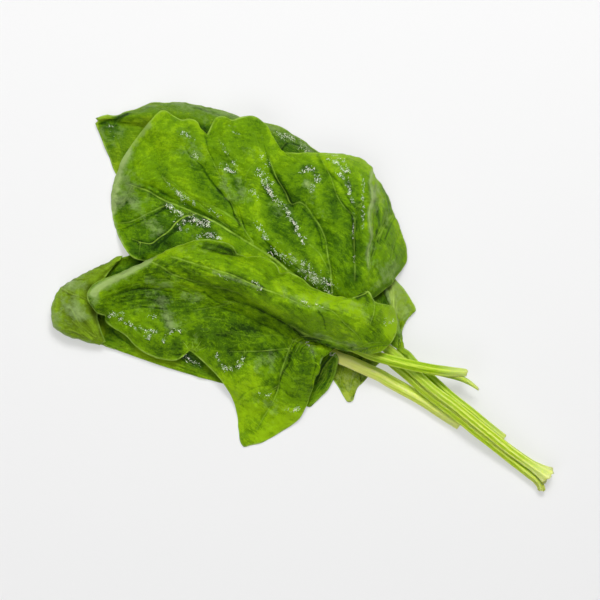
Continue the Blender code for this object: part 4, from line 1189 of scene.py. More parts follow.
BROAD_VEINS = {
    (0.5, 0.4): [
        [(-67.4, 44.8), (-68.6, 42), (-70.6, 40)], [(40, 28.8), (37.6, 22.8), (36, 16)],
        [(-40.8, 39.2), (-36.6, 35.2), (-33.6, 32.8), (-28.4, 29.2)],
    ],
    (0.9, 0.6): [
        [(28.8, 51.2), (27.6, 46), (28.8, 41.2), (27.2, 36), (27.2, 30.8), (28.4, 25.2), (26.8, 20),
         (26.8, 12.8)],
    ],
    (0.8, 0.5): [[(30.8, 49.2), (34.8, 43.2), (37.2, 38), (38.8, 30.8)]],
    (0.7, 0.5): [[(32, 40), (33.6, 34.8), (33.2, 30.8), (30.8, 24.8)]],
    (0.6, 0.4): [[(38, 35.2), (34.8, 30.8), (32.8, 26.8), (31.2, 21.6)]],
    (0.5, 0.45): [[(22, 36.4), (25.2, 38.8), (28.8, 39.2), (32.8, 40.4)]],
    (0.4, 0.5): [
        [(4, 22), (8, 18), (11.2, 10.8)], [(-54.4, 48.8), (-52, 45.6), (-49.2, 43.2)],
        [(-24, 30), (-30, 34.8), (-38, 38.8), (-44, 41.6), (-51.2, 47.2), (-54.8, 48.8)],
        [(-18.8, 23.2), (-24, 31.2), (-27.2, 38), (-28.8, 43.2), (-31.2, 48), (-34, 54), (-37.2, 60)],
    ],
    (0.35, 0.4): [[(-32, 63.6), (-29.6, 60), (-28.4, 56.8)], [(27.6, 14), (31, 24), (35, 31), (37, 36)]],
    (0.3, 0.35): [[(-67.2, 54.8), (-65.6, 60), (-62.8, 64)]],
    (1.0, 0.85): [
        [(18, -3), (4, 5.2), (-3.6, 10.8), (-10.4, 16.4), (-18, 21.2), (-24.4, 25.2), (-36, 32),
         (-45.2, 36), (-55.6, 40.4), (-60, 43), (-68, 46)],
    ],
    (0.7, 0.55): [[(-54.2, 37.4), (-60, 34.8), (-64, 32.8), (-68, 31.2), (-72, 30.8)]],
    (0.85, 0.6): [
        [(-42, 34), (-46, 33.2), (-48.8, 31.2), (-52, 27.6), (-56, 24.8), (-59.2, 22.4), (-62.8, 22.8),
         (-66.8, 24)],
    ],
    (0.4, 0.35): [[(-63.6, 22.8), (-64, 18.4)]],
    (0.6, 0.65): [
        [(12.8, 3), (12.4, 6), (12, 11.2), (10.8, 18), (10, 24), (8, 28.8), (4.8, 33.6), (2.4, 37.2),
         (0, 38.8), (-3.2, 38), (-6, 43.2), (-8.8, 48), (-12, 56)],
    ],
    (0.45, 0.6): [
        [(21.6, 8), (21.6, 14), (21.2, 24), (20.8, 33.6), (18, 36), (15.2, 40), (12, 48.8), (8.8, 55.2)],
    ],
    (0.25, 0.4): [
        [(-26.4, 54.8), (-29.2, 58), (-31.6, 62.8)], [(-22, 40), (-21, 50), (-16, 58), (-18, 66)],
    ],
    (0.35, 0.35): [[(-66, 45.2), (-68, 41), (-71, 38.4)]],
    (0.3, 0.4): [[(28, 24), (30.4, 34), (33, 42)]],
    (0.2, 0.35): [[(2.4, 37.2), (4, 44), (4.4, 52)], [(21, 30), (24.5, 38), (25.4, 46)]],
}
BROAD_CREASES = {
    (0.9, 0.8): [[(-13.2, 58), (-10.8, 50), (-7.2, 45.2), (-4.8, 42), (-2.8, 37.2)]],
    (0.8, 0.7): [[(-38.8, 52.8), (-35.2, 47.2), (-30.8, 41.6), (-27.6, 37.6), (-26.4, 33.6), (-24, 29.6)]],
    (0.45, 0.7): [
        [(-60, 45.6), (-52.8, 41.4), (-44.8, 37.6), (-38, 34.4), (-30, 30), (-23.6, 27.2), (-15.2, 21.6),
         (-8, 15.6)],
    ],
    (0.6, 0.8): [
        [(7.2, 57.6), (8.8, 53.2), (13.2, 48.8), (16.8, 44.8), (19.2, 40), (21.6, 36.8)],
        [(30, 39.2), (31.2, 34.8), (31.6, 30.4), (30.4, 25.6)],
    ],
    (0.6, 0.5): [
        [(16.8, 38.4), (20, 34), (20.8, 29.6), (21.6, 22), (21.6, 15.2)],
        [(38.8, 34), (35.6, 29.2), (33.6, 24)],
    ],
    (0.6, 0.7): [[(33.2, 44.8), (34.8, 40.4), (35.6, 35.6)]],
    (0.7, 0.8): [[(-44.8, 31.6), (-50, 27.2), (-54, 24), (-57.6, 20.8)]],
    (0.6, 0.6): [
        [(-54.4, 36), (-59.2, 33.6), (-64, 31.2), (-68.8, 29.2)],
        [(1.6, 35.6), (5.2, 31.2), (7.6, 26), (8.8, 20)],
    ],
    (0.5, 0.5): [
        [(29.6, 24), (28.4, 18.8), (28, 13.2)], [(-15.2, 24.8), (-10, 20), (-4, 15.2), (2.4, 9.6)],
        [(-45.6, 60.8), (-43.2, 56.8), (-39.2, 53.6)], [(-20.8, 24.8), (-22.4, 29.6), (-24, 35.2)],
    ],
    (0.4, 0.5): [[(-37.6, 64.8), (-36.4, 60), (-34.4, 56)]],
}
# Painted light and painted shade on the blade: light and dark patches for how its puckers, valleys and
# slopes are lit.
BROAD_TONES = {
    (0.12, 8): [[(-35.2, 51.2), (-20, 45.6)], [(-17.6, 27.2), (-4, 20)]],
    (0.5, 1.4): [
        [(25.6, 12), (27.2, 5.6)], [(-46.4, 62.4), (-44, 56.8)], [(-41.6, 56), (-37.6, 52.8)],
        [(-11.2, 48.8), (-8.8, 44.8)], [(-15.2, 31.2), (-12.8, 25.6)], [(-62.4, 67.2), (-60, 69.6)],
        [(-35.2, 48.8), (-32, 45.6)], [(-11.2, 52.8), (-10, 44.8)], [(28.4, 48.8), (29.6, 44)],
        [(-26.4, 37.6), (-22.8, 33.6)], [(-47.6, 29.6), (-44, 26.4)], [(-46.8, 61.6), (-44, 59.2)],
        [(-18, 43.2), (-16.4, 38.4)],
    ],
    (-0.7, 1.4): [
        [(-72.8, 39.6), (-66.4, 40)], [(-53.6, 31.2), (-51.2, 28.4), (-47.2, 29.6)],
        [(16.8, 10.4), (19.2, 8.8)],
    ],
    (-0.6, 1.6): [[(-25.6, 47.2), (-23.2, 42.4), (-27.2, 37.6)], [(14.4, 24), (16, 19.2)]],
    (-0.5, 1.6): [[(-13.6, 33.6), (-7.2, 33.6)], [(-12.8, 43.2), (-11.2, 36)]],
    (0.7, 1.4): [[(-20, 16.8), (-12.8, 14.4), (-9.6, 10.4)], [(-24.8, 24.8), (-19.2, 21.6)]],
    (0.6, 1.4): [
        [(-31.2, 24), (-27.2, 20)], [(-60.8, 67.2), (-66.4, 61.6)], [(-11.6, 68), (-10.4, 63.2)],
        [(28, 13.6), (30.4, 6.4)], [(-38.4, 60.8), (-36.4, 58.4)], [(-15.2, 56.8), (-12.8, 55.2)],
        [(-6, 21.6), (0, 16.8)],
    ],
    (0.6, 1.2): [
        [(24.8, 57.6), (26.4, 56)], [(-71.2, 57.6), (-73.2, 52)], [(-31.2, 51.2), (-27.6, 47.2)],
        [(-5.6, 11.2), (0.8, 12.8)], [(35.2, 32.8), (37.2, 31.2)], [(0, 64.8), (2.4, 62.4)],
        [(12.8, 9.6), (15.2, 6.4)], [(-29.6, 43.2), (-28, 40.8)], [(-50.4, 40), (-48.8, 36.8)],
        [(-40.8, 70.4), (-38.8, 68)], [(0, 28), (1.6, 25.6)], [(-6.4, 50.4), (-4.8, 48.8)],
    ],
    (-0.5, 1.2): [
        [(-30.4, 26.4), (-25.6, 24)], [(18.4, 45.6), (20, 43.2)], [(17.6, 29.6), (20, 27.2)],
        [(-53.6, 37.6), (-48.8, 34.4)], [(-13.6, 44.8), (-11.2, 42.4), (-8.8, 46.4)],
        [(0.8, 52), (3.2, 53.6)], [(18.4, 24), (19.2, 15.2)], [(-29.6, 53.6), (-27.2, 51.2)],
        [(-64, 28.8), (-60.8, 30.4)], [(-18.8, 49.6), (-16.8, 52)], [(-14.4, 44), (-12, 41.6)],
        [(7.2, 22.4), (9.6, 18.4)], [(31.2, 23.2), (36, 20.8)], [(-29.6, 37.6), (-24, 30.4)],
    ],
    (0.08, 8): [[(-28, 36), (-4, 24)]],
    (0.2, 6): [[(12, 20), (24, 15.2)]],
    (0.7, 1.2): [
        [(-40.4, 70.4), (-38.8, 68)], [(-60, 16.8), (-57.6, 17.6)], [(23.6, 48), (24.8, 44)],
        [(37.2, 32.8), (38.8, 29.6)],
    ],
    (0.9, 1.4): [
        [(-20.8, 16.8), (-15.2, 14.8), (-8.8, 12.4)], [(29.2, 52), (29.6, 44.8)],
        [(7.2, 44.8), (7.6, 38.8)],
    ],
    (0.8, 1): [[(32, 40), (28.8, 35.2), (28, 28), (29.6, 24)]],
    (-0.5, 1): [
        [(30.8, 32.8), (31.2, 29.6)], [(0.8, 52.8), (4, 52)], [(-12, 22), (-10.4, 17.6)],
        [(1.2, 22), (2.8, 16.8)],
    ],
    (0.8, 1.2): [
        [(20.8, 56.8), (25.6, 55.6)], [(-12, 70.4), (-10.4, 65.6)], [(12, 57.6), (16, 56.8)],
        [(21.6, 56.8), (25.6, 55.2)], [(-24.8, 52.4), (-22.4, 50)],
    ],
    (0.7, 1.3): [[(12.8, 56), (16.8, 53.6)]],
    (-0.6, 1): [[(26.4, 39.2), (24.8, 31.2)], [(33.6, 36), (33.6, 30)]],
    (-0.5, 1.4): [
        [(10.4, 48), (12.8, 43.2)], [(-45.6, 58.4), (-42.4, 52), (-39.2, 49.6)],
        [(-73.6, 40), (-71.2, 39.6)], [(11, 27), (13, 15)],
    ],
    (-0.8, 1.4): [[(-72.8, 40), (-70.4, 39.2)]],
    (-0.6, 1.4): [
        [(-54.4, 42.4), (-50.4, 42.4)], [(5.6, 50.4), (8, 47.2), (9.6, 49.6)],
        [(-27.2, 49.6), (-24.8, 43.2)], [(-8.8, 34.4), (-5.6, 33.6)],
    ],
    (-0.7, 1): [[(-44, 32.8), (-42.4, 32)]],
    (-0.6, 1.3): [[(-39.2, 30.4), (-33.6, 26.4)]],
    (-0.6, 1.2): [
        [(-19.2, 38.8)], [(-23.2, 29.6), (-21.6, 28)], [(-8.8, 67.2), (-4, 65.6)],
        [(30.4, 33.6), (31.2, 29.6)], [(-44, 32.8), (-40.8, 30.4)], [(-53.6, 22.4), (-49.6, 21.6)],
        [(-61.6, 19.2), (-57.6, 20.8)], [(-68, 22.4), (-64, 21.6)],
    ],
    (-0.6, 1.1): [[(-3.2, 30.4), (-2, 28)]],
    (0.9, 1.3): [[(28.4, 52.8), (29.6, 47.2)]],
    (0.8, 1.4): [
        [(27.2, 37.6), (29.2, 40.8), (32, 41.6)], [(-15.2, 19.2), (-11.2, 14.4), (-5.6, 10.4)],
        [(8.8, 58), (18, 57.6), (24.8, 56.4)], [(-46.8, 29.6), (-41.2, 28.8)],
    ],
    (0.6, 1): [[(27.6, 34.4), (27.6, 28)], [(26.4, 39.2), (26.4, 30)], [(-30.4, 43.2), (-28.8, 40.8)]],
    (-0.7, 1.2): [
        [(19.6, 46.4), (20.4, 43.2)], [(-11.2, 20), (-10, 16)], [(-54.4, 36.8), (-51.2, 34.4)],
        [(-18, 51.6), (-16.4, 50.8)],
    ],
    (0.6, 1.6): [
        [(10.4, 45.6), (13.6, 44)], [(-73.6, 35.2), (-72, 29.6)],
        [(-12.8, 70.4), (-11.2, 63.2), (-7.2, 58)], [(37.6, 31.2), (39.2, 25.6)],
        [(-62.4, 46.4), (-56.8, 44)], [(-40, 41.2), (-34, 36.8), (-27.2, 31.2), (-20.8, 25.4)],
    ],
    (0.8, 1.6): [[(-27.2, 36), (-24, 34.4)]],
    (0.9, 1.8): [[(-31.2, 24), (-26.4, 22.4)], [(-21.6, 17.6), (-17.6, 15.2)]],
    (-0.8, 1.2): [[(9.6, 8), (12, 5.6)]],
    (0.4, 1.6): [[(31.2, 7.2), (35.2, 9.6)]],
    (0.6, 1.8): [[(-52, 27.2), (-45.6, 24.8)]],
    (-0.4, 2.2): [[(-27.2, 64.8), (-22.4, 60)]],
    (0.5, 1.6): [[(-49.6, 66.4), (-47.2, 68.8)], [(-49.6, 68), (-44, 70.4)]],
    (0.5, 1.2): [
        [(-11.2, 37.6), (-5.6, 38.4)], [(22.4, 24.8), (24.8, 29.6)], [(41.2, 24), (41.6, 16)],
        [(-6.4, 13.6), (-3.2, 11.2)], [(20.8, 36.8), (22, 34.4)], [(30.6, 33), (31.4, 28)],
    ],
    (0.9, 1.5): [[(27.2, 54), (30.8, 46.4)]],
    (0.7, 1.6): [[(-17.6, 41.6), (-16.8, 34), (-15.6, 26.4)]],
    (-0.7, 1.6): [[(-38.4, 32), (-35.2, 25.6)]],
    (1, 1.8): [[(-10, 21.2), (-6.4, 18.4), (-0.8, 15.6)]],
    (-0.7, 1.8): [[(11.2, 44), (17.6, 39.2), (23.2, 37.6)]],
    (-0.6, 1.8): [[(-56.8, 32.8), (-53.6, 26.4)], [(-43.2, 30.4), (-37.2, 25.6)]],
    (0.5, 2.2): [[(-63.2, 36.8), (-61.6, 28.8)]],
    (0.5, 2.4): [[(8.8, 16.8), (20, 12.8), (13.6, 7.2)]],
    (0.5, 1.8): [[(-24, 69.6), (-21.6, 67.2)]],
    (-0.4, 1.2): [[(-56, 70.4), (-53.6, 66.4)], [(0.8, 35.2), (4.8, 28)]],
    (-0.9, 2.6): [[(13.6, 24.8), (16.8, 15.2)]],
    (-0.8, 2): [[(13.2, 37.6), (13.6, 33.2)]],
    (-0.55, 3): [[(-9.6, 37.6), (-4, 35.2), (-1.6, 27.2)]],
    (-0.5, 1.8): [[(-67.2, 52.8), (-60.8, 50)]],
    (-0.4, 3): [[(-52, 56.8), (-46.4, 49.6), (-39.2, 44)]],
    (-0.5, 3.4): [[(-60, 31.2), (-64, 24), (-58.4, 24.8)]],
    (-0.9, 1.8): [[(-66.8, 19.2), (-62.8, 17.2)]],
    (-0.5, 2): [[(-73.6, 39.2), (-64.8, 39.2)]],
    (0.7, 2.2): [[(-40.4, 70.4), (-39.2, 64), (-37.6, 57.6)]],
    (0.8, 2.4): [[(-17.6, 59.6), (-12, 56.4)]],
    (0.9, 2.2): [[(5.6, 57.6), (12, 52), (16, 44), (18.8, 40)]],
    (1, 2.6): [[(31.2, 40.8), (32.8, 32.8), (30.4, 28.8)]],
    (0.7, 2): [[(-53.6, 40.8), (-44.8, 40), (-37.6, 34.8), (-28.8, 30)]],
    (1, 2): [[(-20, 24.8), (-14.8, 20)]],
    (0.8, 1.8): [[(7.6, 16), (9.2, 9.6)]],
    (0.6, 1.5): [[(-38, 50.4), (-34.4, 45.6)]],
    (1.0, 4.0): [[(-56, 73), (-53.6, 64), (-49.6, 54), (-44, 44)]],
    (0.6, 2.2): [[(-64, 52), (-58, 47.6), (-50, 43.6)]],
    (0.7, 5.5): [[(-61, 59), (-64, 53)]],
    (0.5, 4.0): [[(-31, 70.5), (-27.5, 62)], [(-22, 38), (-17, 34)], [(34, 20), (39, 24)]],
    (0.6, 4.0): [[(-20, 55), (-14, 50)]],
    (0.5, 2.0): [[(-38, 28.5), (-28, 25)]],
    (0.45, 4.0): [[(-7, 56), (4, 56.5)]],
    (-0.5, 3.0): [[(-0.8, 43), (0, 39.6)]],
    (0.65, 5.0): [[(15, 56), (26, 52)]],
    (0.5, 3.0): [[(14, 27), (15, 20)]],
    (0.4, 2.4): [[(5, 24), (5.6, 19)]],
    (0.25, 2.0): [[(25, 44), (25.5, 24)]],
    (-0.35, 4.0): [[(-71, 38), (-71, 27)]],
    (-0.8, 5.0): [[(-56, 21), (-48, 26)]],
    (-0.4, 1.3): [[(-64, 46.6), (-56, 42.8), (-48, 39), (-40, 35.2), (-30, 30)]],
    (-0.8, 2.4): [[(-38, 52), (-34, 45), (-29.4, 39.8)], [(21.2, 32), (22.8, 24), (22.8, 15), (21, 8)]],
    (-0.35, 3.0): [[(-24, 34), (-19, 28.8)]],
    (-0.9, 2.2): [[(-11.2, 50), (-7.2, 44.8), (-3.2, 39.2)]],
    (-0.6, 3.0): [[(-10, 30), (-5, 24), (-1, 18)]],
    (-0.4, 1.5): [[(-15, 22.4), (-9, 17.4), (-3, 12.4), (2, 9)]],
    (-0.5, 0.8): [[(31, 40), (30.2, 34), (29.8, 28), (30.6, 23)]],
    (-0.4, 4.0): [[(8, 12), (16, 9)]],
}
# Pale patches: painted sheen on the wet skin, and painted highlights along the left margin and the shoulder
# where the blade bends down.
BROAD_PAINTED_SHEEN = {
    (0.1, 8): [[(-72, 40), (-60, 29.6)]],
    (0.14, 7): [[(-67.2, 45.6), (-56, 35.2)]],
    (0.1, 7): [[(-28, 41.6), (-12.8, 33.6)]],
    (0.7, 2): [[(29.6, 5.6), (33.6, 8.4), (37.6, 11.2)]],
    (0.6, 1.6): [[(2.8, 46.4), (4, 44)]],
    (0.65, 3.6): [[(-45, 60.4), (-42, 57.6)]],
    (0.5, 2.6): [[(-30, 51), (-29.6, 45), (-28.8, 41.6)]],
    (0.75, 2.4): [[(-24, 47), (-22.6, 40)]],
    (0.6, 2.4): [[(-65.6, 38.5), (-63.4, 34.6)]],
    (0.8, 2.2): [[(-59.6, 30.5), (-57, 27.4)]],
    (0.7, 2.2): [[(2.8, 45.6)]],
    (0.35, 2.6): [[(7, 40), (7.6, 35)]],
    (0.9, 1.4): [[(-60, 69.4), (-66.8, 61), (-71.2, 55)]],
    (1.3, 2.2): [[(-69.4, 58), (-72.6, 50.6), (-74.4, 43), (-75, 37)]],
    (0.9, 1.2): [[(-74.8, 38), (-74.2, 30), (-71.6, 22)]],
    (0.55, 4.5): [[(-69, 48), (-70, 40)]],
    (1.2, 0.9): [
        [(28.8, 52), (27.8, 46), (28.6, 41), (27.2, 35), (27.4, 30), (28.2, 25), (26.8, 20), (26.8, 13)],
    ],
    (0.8, 1.8): [[(31.2, 49), (30, 43), (29.6, 36)]],
    (0.6, 0.7): [[(31, 44), (34, 36), (34.4, 30)]],
    (0.6, 0.8): [[(34.6, 44), (37, 37), (37.4, 33)]],
    (0.6, 2.6): [[(36.8, 15), (33, 11.6)]],
    (0.4, 2.0): [[(29.6, 20), (30, 14)], [(-11, 38.6), (-8, 35)]],
    (0.55, 2.2): [[(-3, 15.8), (2, 11.6), (7.2, 7.4)]],
    (0.3, 3.0): [[(-20, 60), (-14, 62)]],
}
BROAD_WET = {
    (1, 1.2): [[(-48, 42.4), (-45.6, 40.4), (-42.4, 38.8)]],
    (0.6, 0.7): [[(-54.4, 48.8), (-52, 45.6), (-49.2, 43.2)]],
    (1, 1.1): [[(-52, 37.6), (-49.6, 36), (-47.6, 33.6)], [(-16.8, 29.6), (-15.2, 27.2), (-13.2, 24)]],
    (1, 1.7): [[(-47.2, 31.2), (-42, 31.6), (-36.8, 30.4)]],
    (0.8, 0.8): [[(-48, 28), (-44.4, 27.6)], [(-26.4, 55.2), (-25.6, 50.8)]],
    (0.9, 1.2): [[(-41.2, 24.8), (-36.4, 25.6), (-32, 24.8)], [(-14.8, 56.4), (-13.2, 54)]],
    (0.7, 0.8): [[(-36, 36), (-32.4, 33.6)]],
    (0.8, 1): [[(-47.6, 66.8), (-45.2, 65.6), (-42.8, 64.4)]],
    (0.7, 1.1): [[(-42.4, 58), (-40, 56)]],
    (0.7, 0.7): [[(-31.6, 62.8), (-29.6, 60), (-28.8, 57.6)]],
    (0.6, 1): [[(-27.2, 67.6), (-24.8, 66.4)]],
    (0.9, 1.5): [[(-30, 52.4), (-27.6, 51.2)]],
    (0.9, 1.6): [[(-16, 50.8), (-14.4, 48), (-12, 45.2)]],
    (1, 0.9): [[(-14, 46.8), (-9.6, 40), (-6, 37.2), (-4, 32.8), (-1.2, 28.8)]],
    (1, 1.3): [[(-0.4, 26.8), (1.6, 23.2)]],
    (0.7, 1.2): [[(-19.6, 43.2), (-17.2, 41.2)]],
    (0.75, 2.2): [[(-9.6, 19.2), (-4, 16), (0.8, 13.6)]],
    (0.9, 2.3): [[(3.2, 10.8), (7.2, 8), (12, 5.2)]],
    (0.9, 0.9): [[(0.8, 50.4), (3.2, 52), (6, 50.8), (6.8, 47.2), (4.8, 44)]],
    (0.9, 1.7): [[(12.4, 56), (16, 54.4), (18, 51.2)]],
    (0.8, 0.9): [[(14.8, 50), (16.8, 48)]],
    (0.9, 0.7): [[(18.8, 47.2), (19.6, 42.4), (20.8, 38)]],
    (0.8, 0.5): [[(24.8, 49.2), (24.8, 40), (24.8, 28.4)]],
    (0.6, 0.5): [[(21.2, 34), (20.8, 26), (21.2, 15.2)]],
}
BROAD_RELIEF = {
    (0.9, 4.0): [[(-56, 72), (-53.6, 64), (-49.6, 54), (-44, 45)], [(-20, 56), (-18, 46)]],
    (0.8, 3.4): [[(-31, 70), (-27.5, 60)], [(4, 28), (4, 18)]],
    (-0.7, 1.6): [[(-62, 45.6), (-54, 42), (-46, 38), (-38, 34), (-30, 30)]],
    (0.6, 1.6): [[(-44, 42.4), (-38, 39), (-32, 35), (-25, 30.4), (-20.8, 26)]],
    (-1.3, 2.6): [[(-38, 52), (-34, 45), (-29.4, 39.8), (-24, 31)]],
    (0.8, 2.2): [[(-29.4, 50), (-28.6, 43)]],
    (-1.3, 2.4): [[(-12, 54), (-7.2, 44.8), (-3.2, 38.4)]],
    (0.7, 3.0): [[(2, 50), (4, 43)]],
    (-0.9, 2.6): [[(8.8, 55), (12.8, 47.2), (16.8, 40), (20.6, 34)]],
    (-1.1, 2.2): [[(21.2, 33), (22, 24), (22, 12)]],
    (-0.9, 1.8): [[(3, 36.6), (8, 28.8), (10, 22), (12, 10)]],
    (0.9, 3.4): [[(15, 30), (15.6, 18)]],
    (0.8, 4.0): [[(16, 55), (24, 50)]],
    (0.7, 2.0): [[(28.0, 52), (27.2, 40), (26.8, 26), (27.2, 14)]],
    (-0.5, 1.6): [[(31, 44), (30.8, 36), (30.8, 24)]],
    (-0.8, 1.4): [[(31, 24), (34, 31), (37, 37)]],
    (0.7, 1.5): [[(31.6, 44), (34.2, 36), (35, 28)]],
    (-0.9, 1.2): [[(29.6, 38), (29.6, 28)]],
    (0.5, 3.5): [[(-64, 36)]],
    (0.5, 3.0): [[(-58, 29)]],
    (-0.7, 3.5): [[(-54, 22)]],
}
broad_vein = veined(broad_flat, BROAD_VEINS)
broad_crease = veined(broad_flat, BROAD_CREASES)
broad_relief = 0.8 * drawn(broad_flat, BROAD_RELIEF)
broad_relief += puckers(broad_flat, height=0.22, size=7.0, seed=31)
broad_relief -= 0.45 * vein_groove(broad_vein) + 0.35 * vein_groove(broad_crease)
broad_laid = laid_down(broad_flat, broad_relief)
broad_fields = patches_of(
    broad_laid, BROAD_TONES, BROAD_PAINTED_SHEEN, BROAD_WET, tone_share=0.7, sheen_share=0.7,
)
broad_skin = leaf_material(
    "broad_leaf_skin", deep=(0.013, 0.045, 0.0005), dark=(0.052, 0.14, 0.0005),
    fresh=(0.142, 0.305, 0.0005), bright=(0.28, 0.50, 0.002),
)
broad_blade = blade_piece(
    "broad_leaf_blade", broad_laid, broad_vein, broad_crease, broad_fields, broad_skin,
)
hand_in(broad_blade, "broad_blade")
drops_on(broad_blade, seed=5)

BROAD_STALK = [
    (26, -9.6, 12.6), (31.6, -16.6, 10.8), (36.9, -21.3, 9.9), (43.6, -27, 9.4), (48, -31.2, 9.3),
    (52, -34.9, 9.3), (60, -41, 9.3), (68, -47.5, 8.9), (76, -53.9, 7.7), (84, -60.1, 6.4),
    (92, -65.7, 5.3), (98.6, -69.9, 4.9),
]
broad_flesh = stem_material(
    "broad_leaf_stalk", groove=(0.34, 0.53, 0.008), flesh=(0.52, 0.70, 0.03), crest=(0.76, 0.86, 0.24),
    end=(0.80, 0.88, 0.34), leafward=(0.40, 0.58, 0.04), leaf_from=44.0, leaf_to=64.0,
)
centres, radii = stem_course(broad_laid, BROAD_STALK, rib_column=68, reach=0.85, radius=2.1, flare=1.85)
broad_tube = stalk_tube(centres, radii, ridges=7, depth=0.14, torn=1.2, seed=5)
hand_in(stem_piece("broad_leaf_stem", [broad_tube], broad_flesh), "broad_stem")

# The front leaf
# The uppermost leaf. One half lies to the near side with a long pointed lobe, and the other half rolls
# over towards the back, so the blade is a smooth dome at its left end. Its stalk lies over the others.

front_rows = CAD_ROWS * 7
front_near = long_line(
    [(13.2, -19.6), (8.4, -22.4), (7.2, -28), (4.6, -36.4), (2.4, -42.6), (0, -47),
     (-8.4, -53.2), (-15.4, -57.1), (-20, -58.2), (-22.6, -58.6), (-23.6, -57.2), (-24.5, -52.6),
     (-25.2, -45.2), (-30, -34),
     (-36.8, -26.4), (-41.2, -22.4), (-44, -20.4), (-46.4, -22.4), (-49.2, -24), (-55.6, -23.6),
     (-61.6, -21.2), (-66, -18), (-69.2, -14.4), (-76, -9.8), (-77.4, -8.4), (-77.2, -6.6),
     (-80, -5.4), (-81.8, -3.4), (-82.8, -2)],
    front_rows, rise=(5, 2.5, 1.0, 0.5, 0.6, 1.5, 2, 1.5, 1.5, 2),
)
front_middle = long_line(
    [(13.6, -19.4), (4, -23), (-4, -29), (-14, -33), (-22, -28), (-32, -17), (-45, -11),
     (-60, -7.6), (-72, -4.0), (-83.8, -0.4)],
    front_rows, rise=(5.5, 5, 4, 4, 4, 3.5, 4.0, 4.4, 3.0), ease=1.4,
)
front_rib = long_line(
    [(14.4, -18.8), (4, -13.6), (-4, -8.0), (-14, -3.4), (-28, 0.2), (-44, 2.4), (-60, 3.0),
     (-74, 2.4), (-84.3, 1.0)],
    front_rows, rise=(5.6, 5, 4.2, 4.0, 4.8, 5.4, 3.4), ease=1.8,
)
front_hem = long_line(
    [(15.6, -18.6), (20, -20), (11.6, -17.6), (3, -15.0), (-3, -10.4), (-11, -5.5), (-24, 2.6),
     (-40, 8.0), (-58, 8.8), (-73, 6.4), (-84.2, 2.4)],
    front_rows, rise=(6.5, 9, 10, 10, 8.5, 7.0, 6.4, 5.8, 3.6), ease=1.5,
)
front_crest = long_line(
    [(17.2, -18.6), (26, -18), (24, -13), (14, -6.0), (7.6, -4), (-4, 1.5), (-13.6, 5.6),
     (-24, 10.4), (-36, 15.4), (-46.4, 16.8), (-60, 13.0), (-72, 9.2), (-83.6, 3.9)],
    front_rows, rise=(7, 12, 14, 14, 12, 9, 7, 5.5, 3.6), ease=1.2,
)
front_far = long_line(
    [(18.8, -19), (28.8, -21.2), (33.2, -19.6), (36.8, -15.6), (38.4, -7.2), (37.2, -3.2),
     (29.2, -0.4), (26.8, 3.6), (21.2, 0.8), (8.8, 3.2), (4.8, 4.8), (1.6, 8), (-3.6, 10.4),
     (-8, 10.8), (-8.8, 12.8), (-13.2, 16.4), (-24.4, 18.4), (-26.4, 21.2), (-31.6, 23.2),
     (-38, 24.1), (-44, 22.8), (-54, 19.2), (-60.8, 15.9), (-68, 12.4), (-76, 9.0), (-80.4, 7.2),
     (-82.6, 5.4)],
    front_rows, rise=(7.5, 6, 7, 8, 5, 3, 2, 1.5, 1.0, 1.4),
)
front_flat = loft(
    [front_near, front_middle, front_rib, front_hem, front_crest, front_far], columns=170,
)
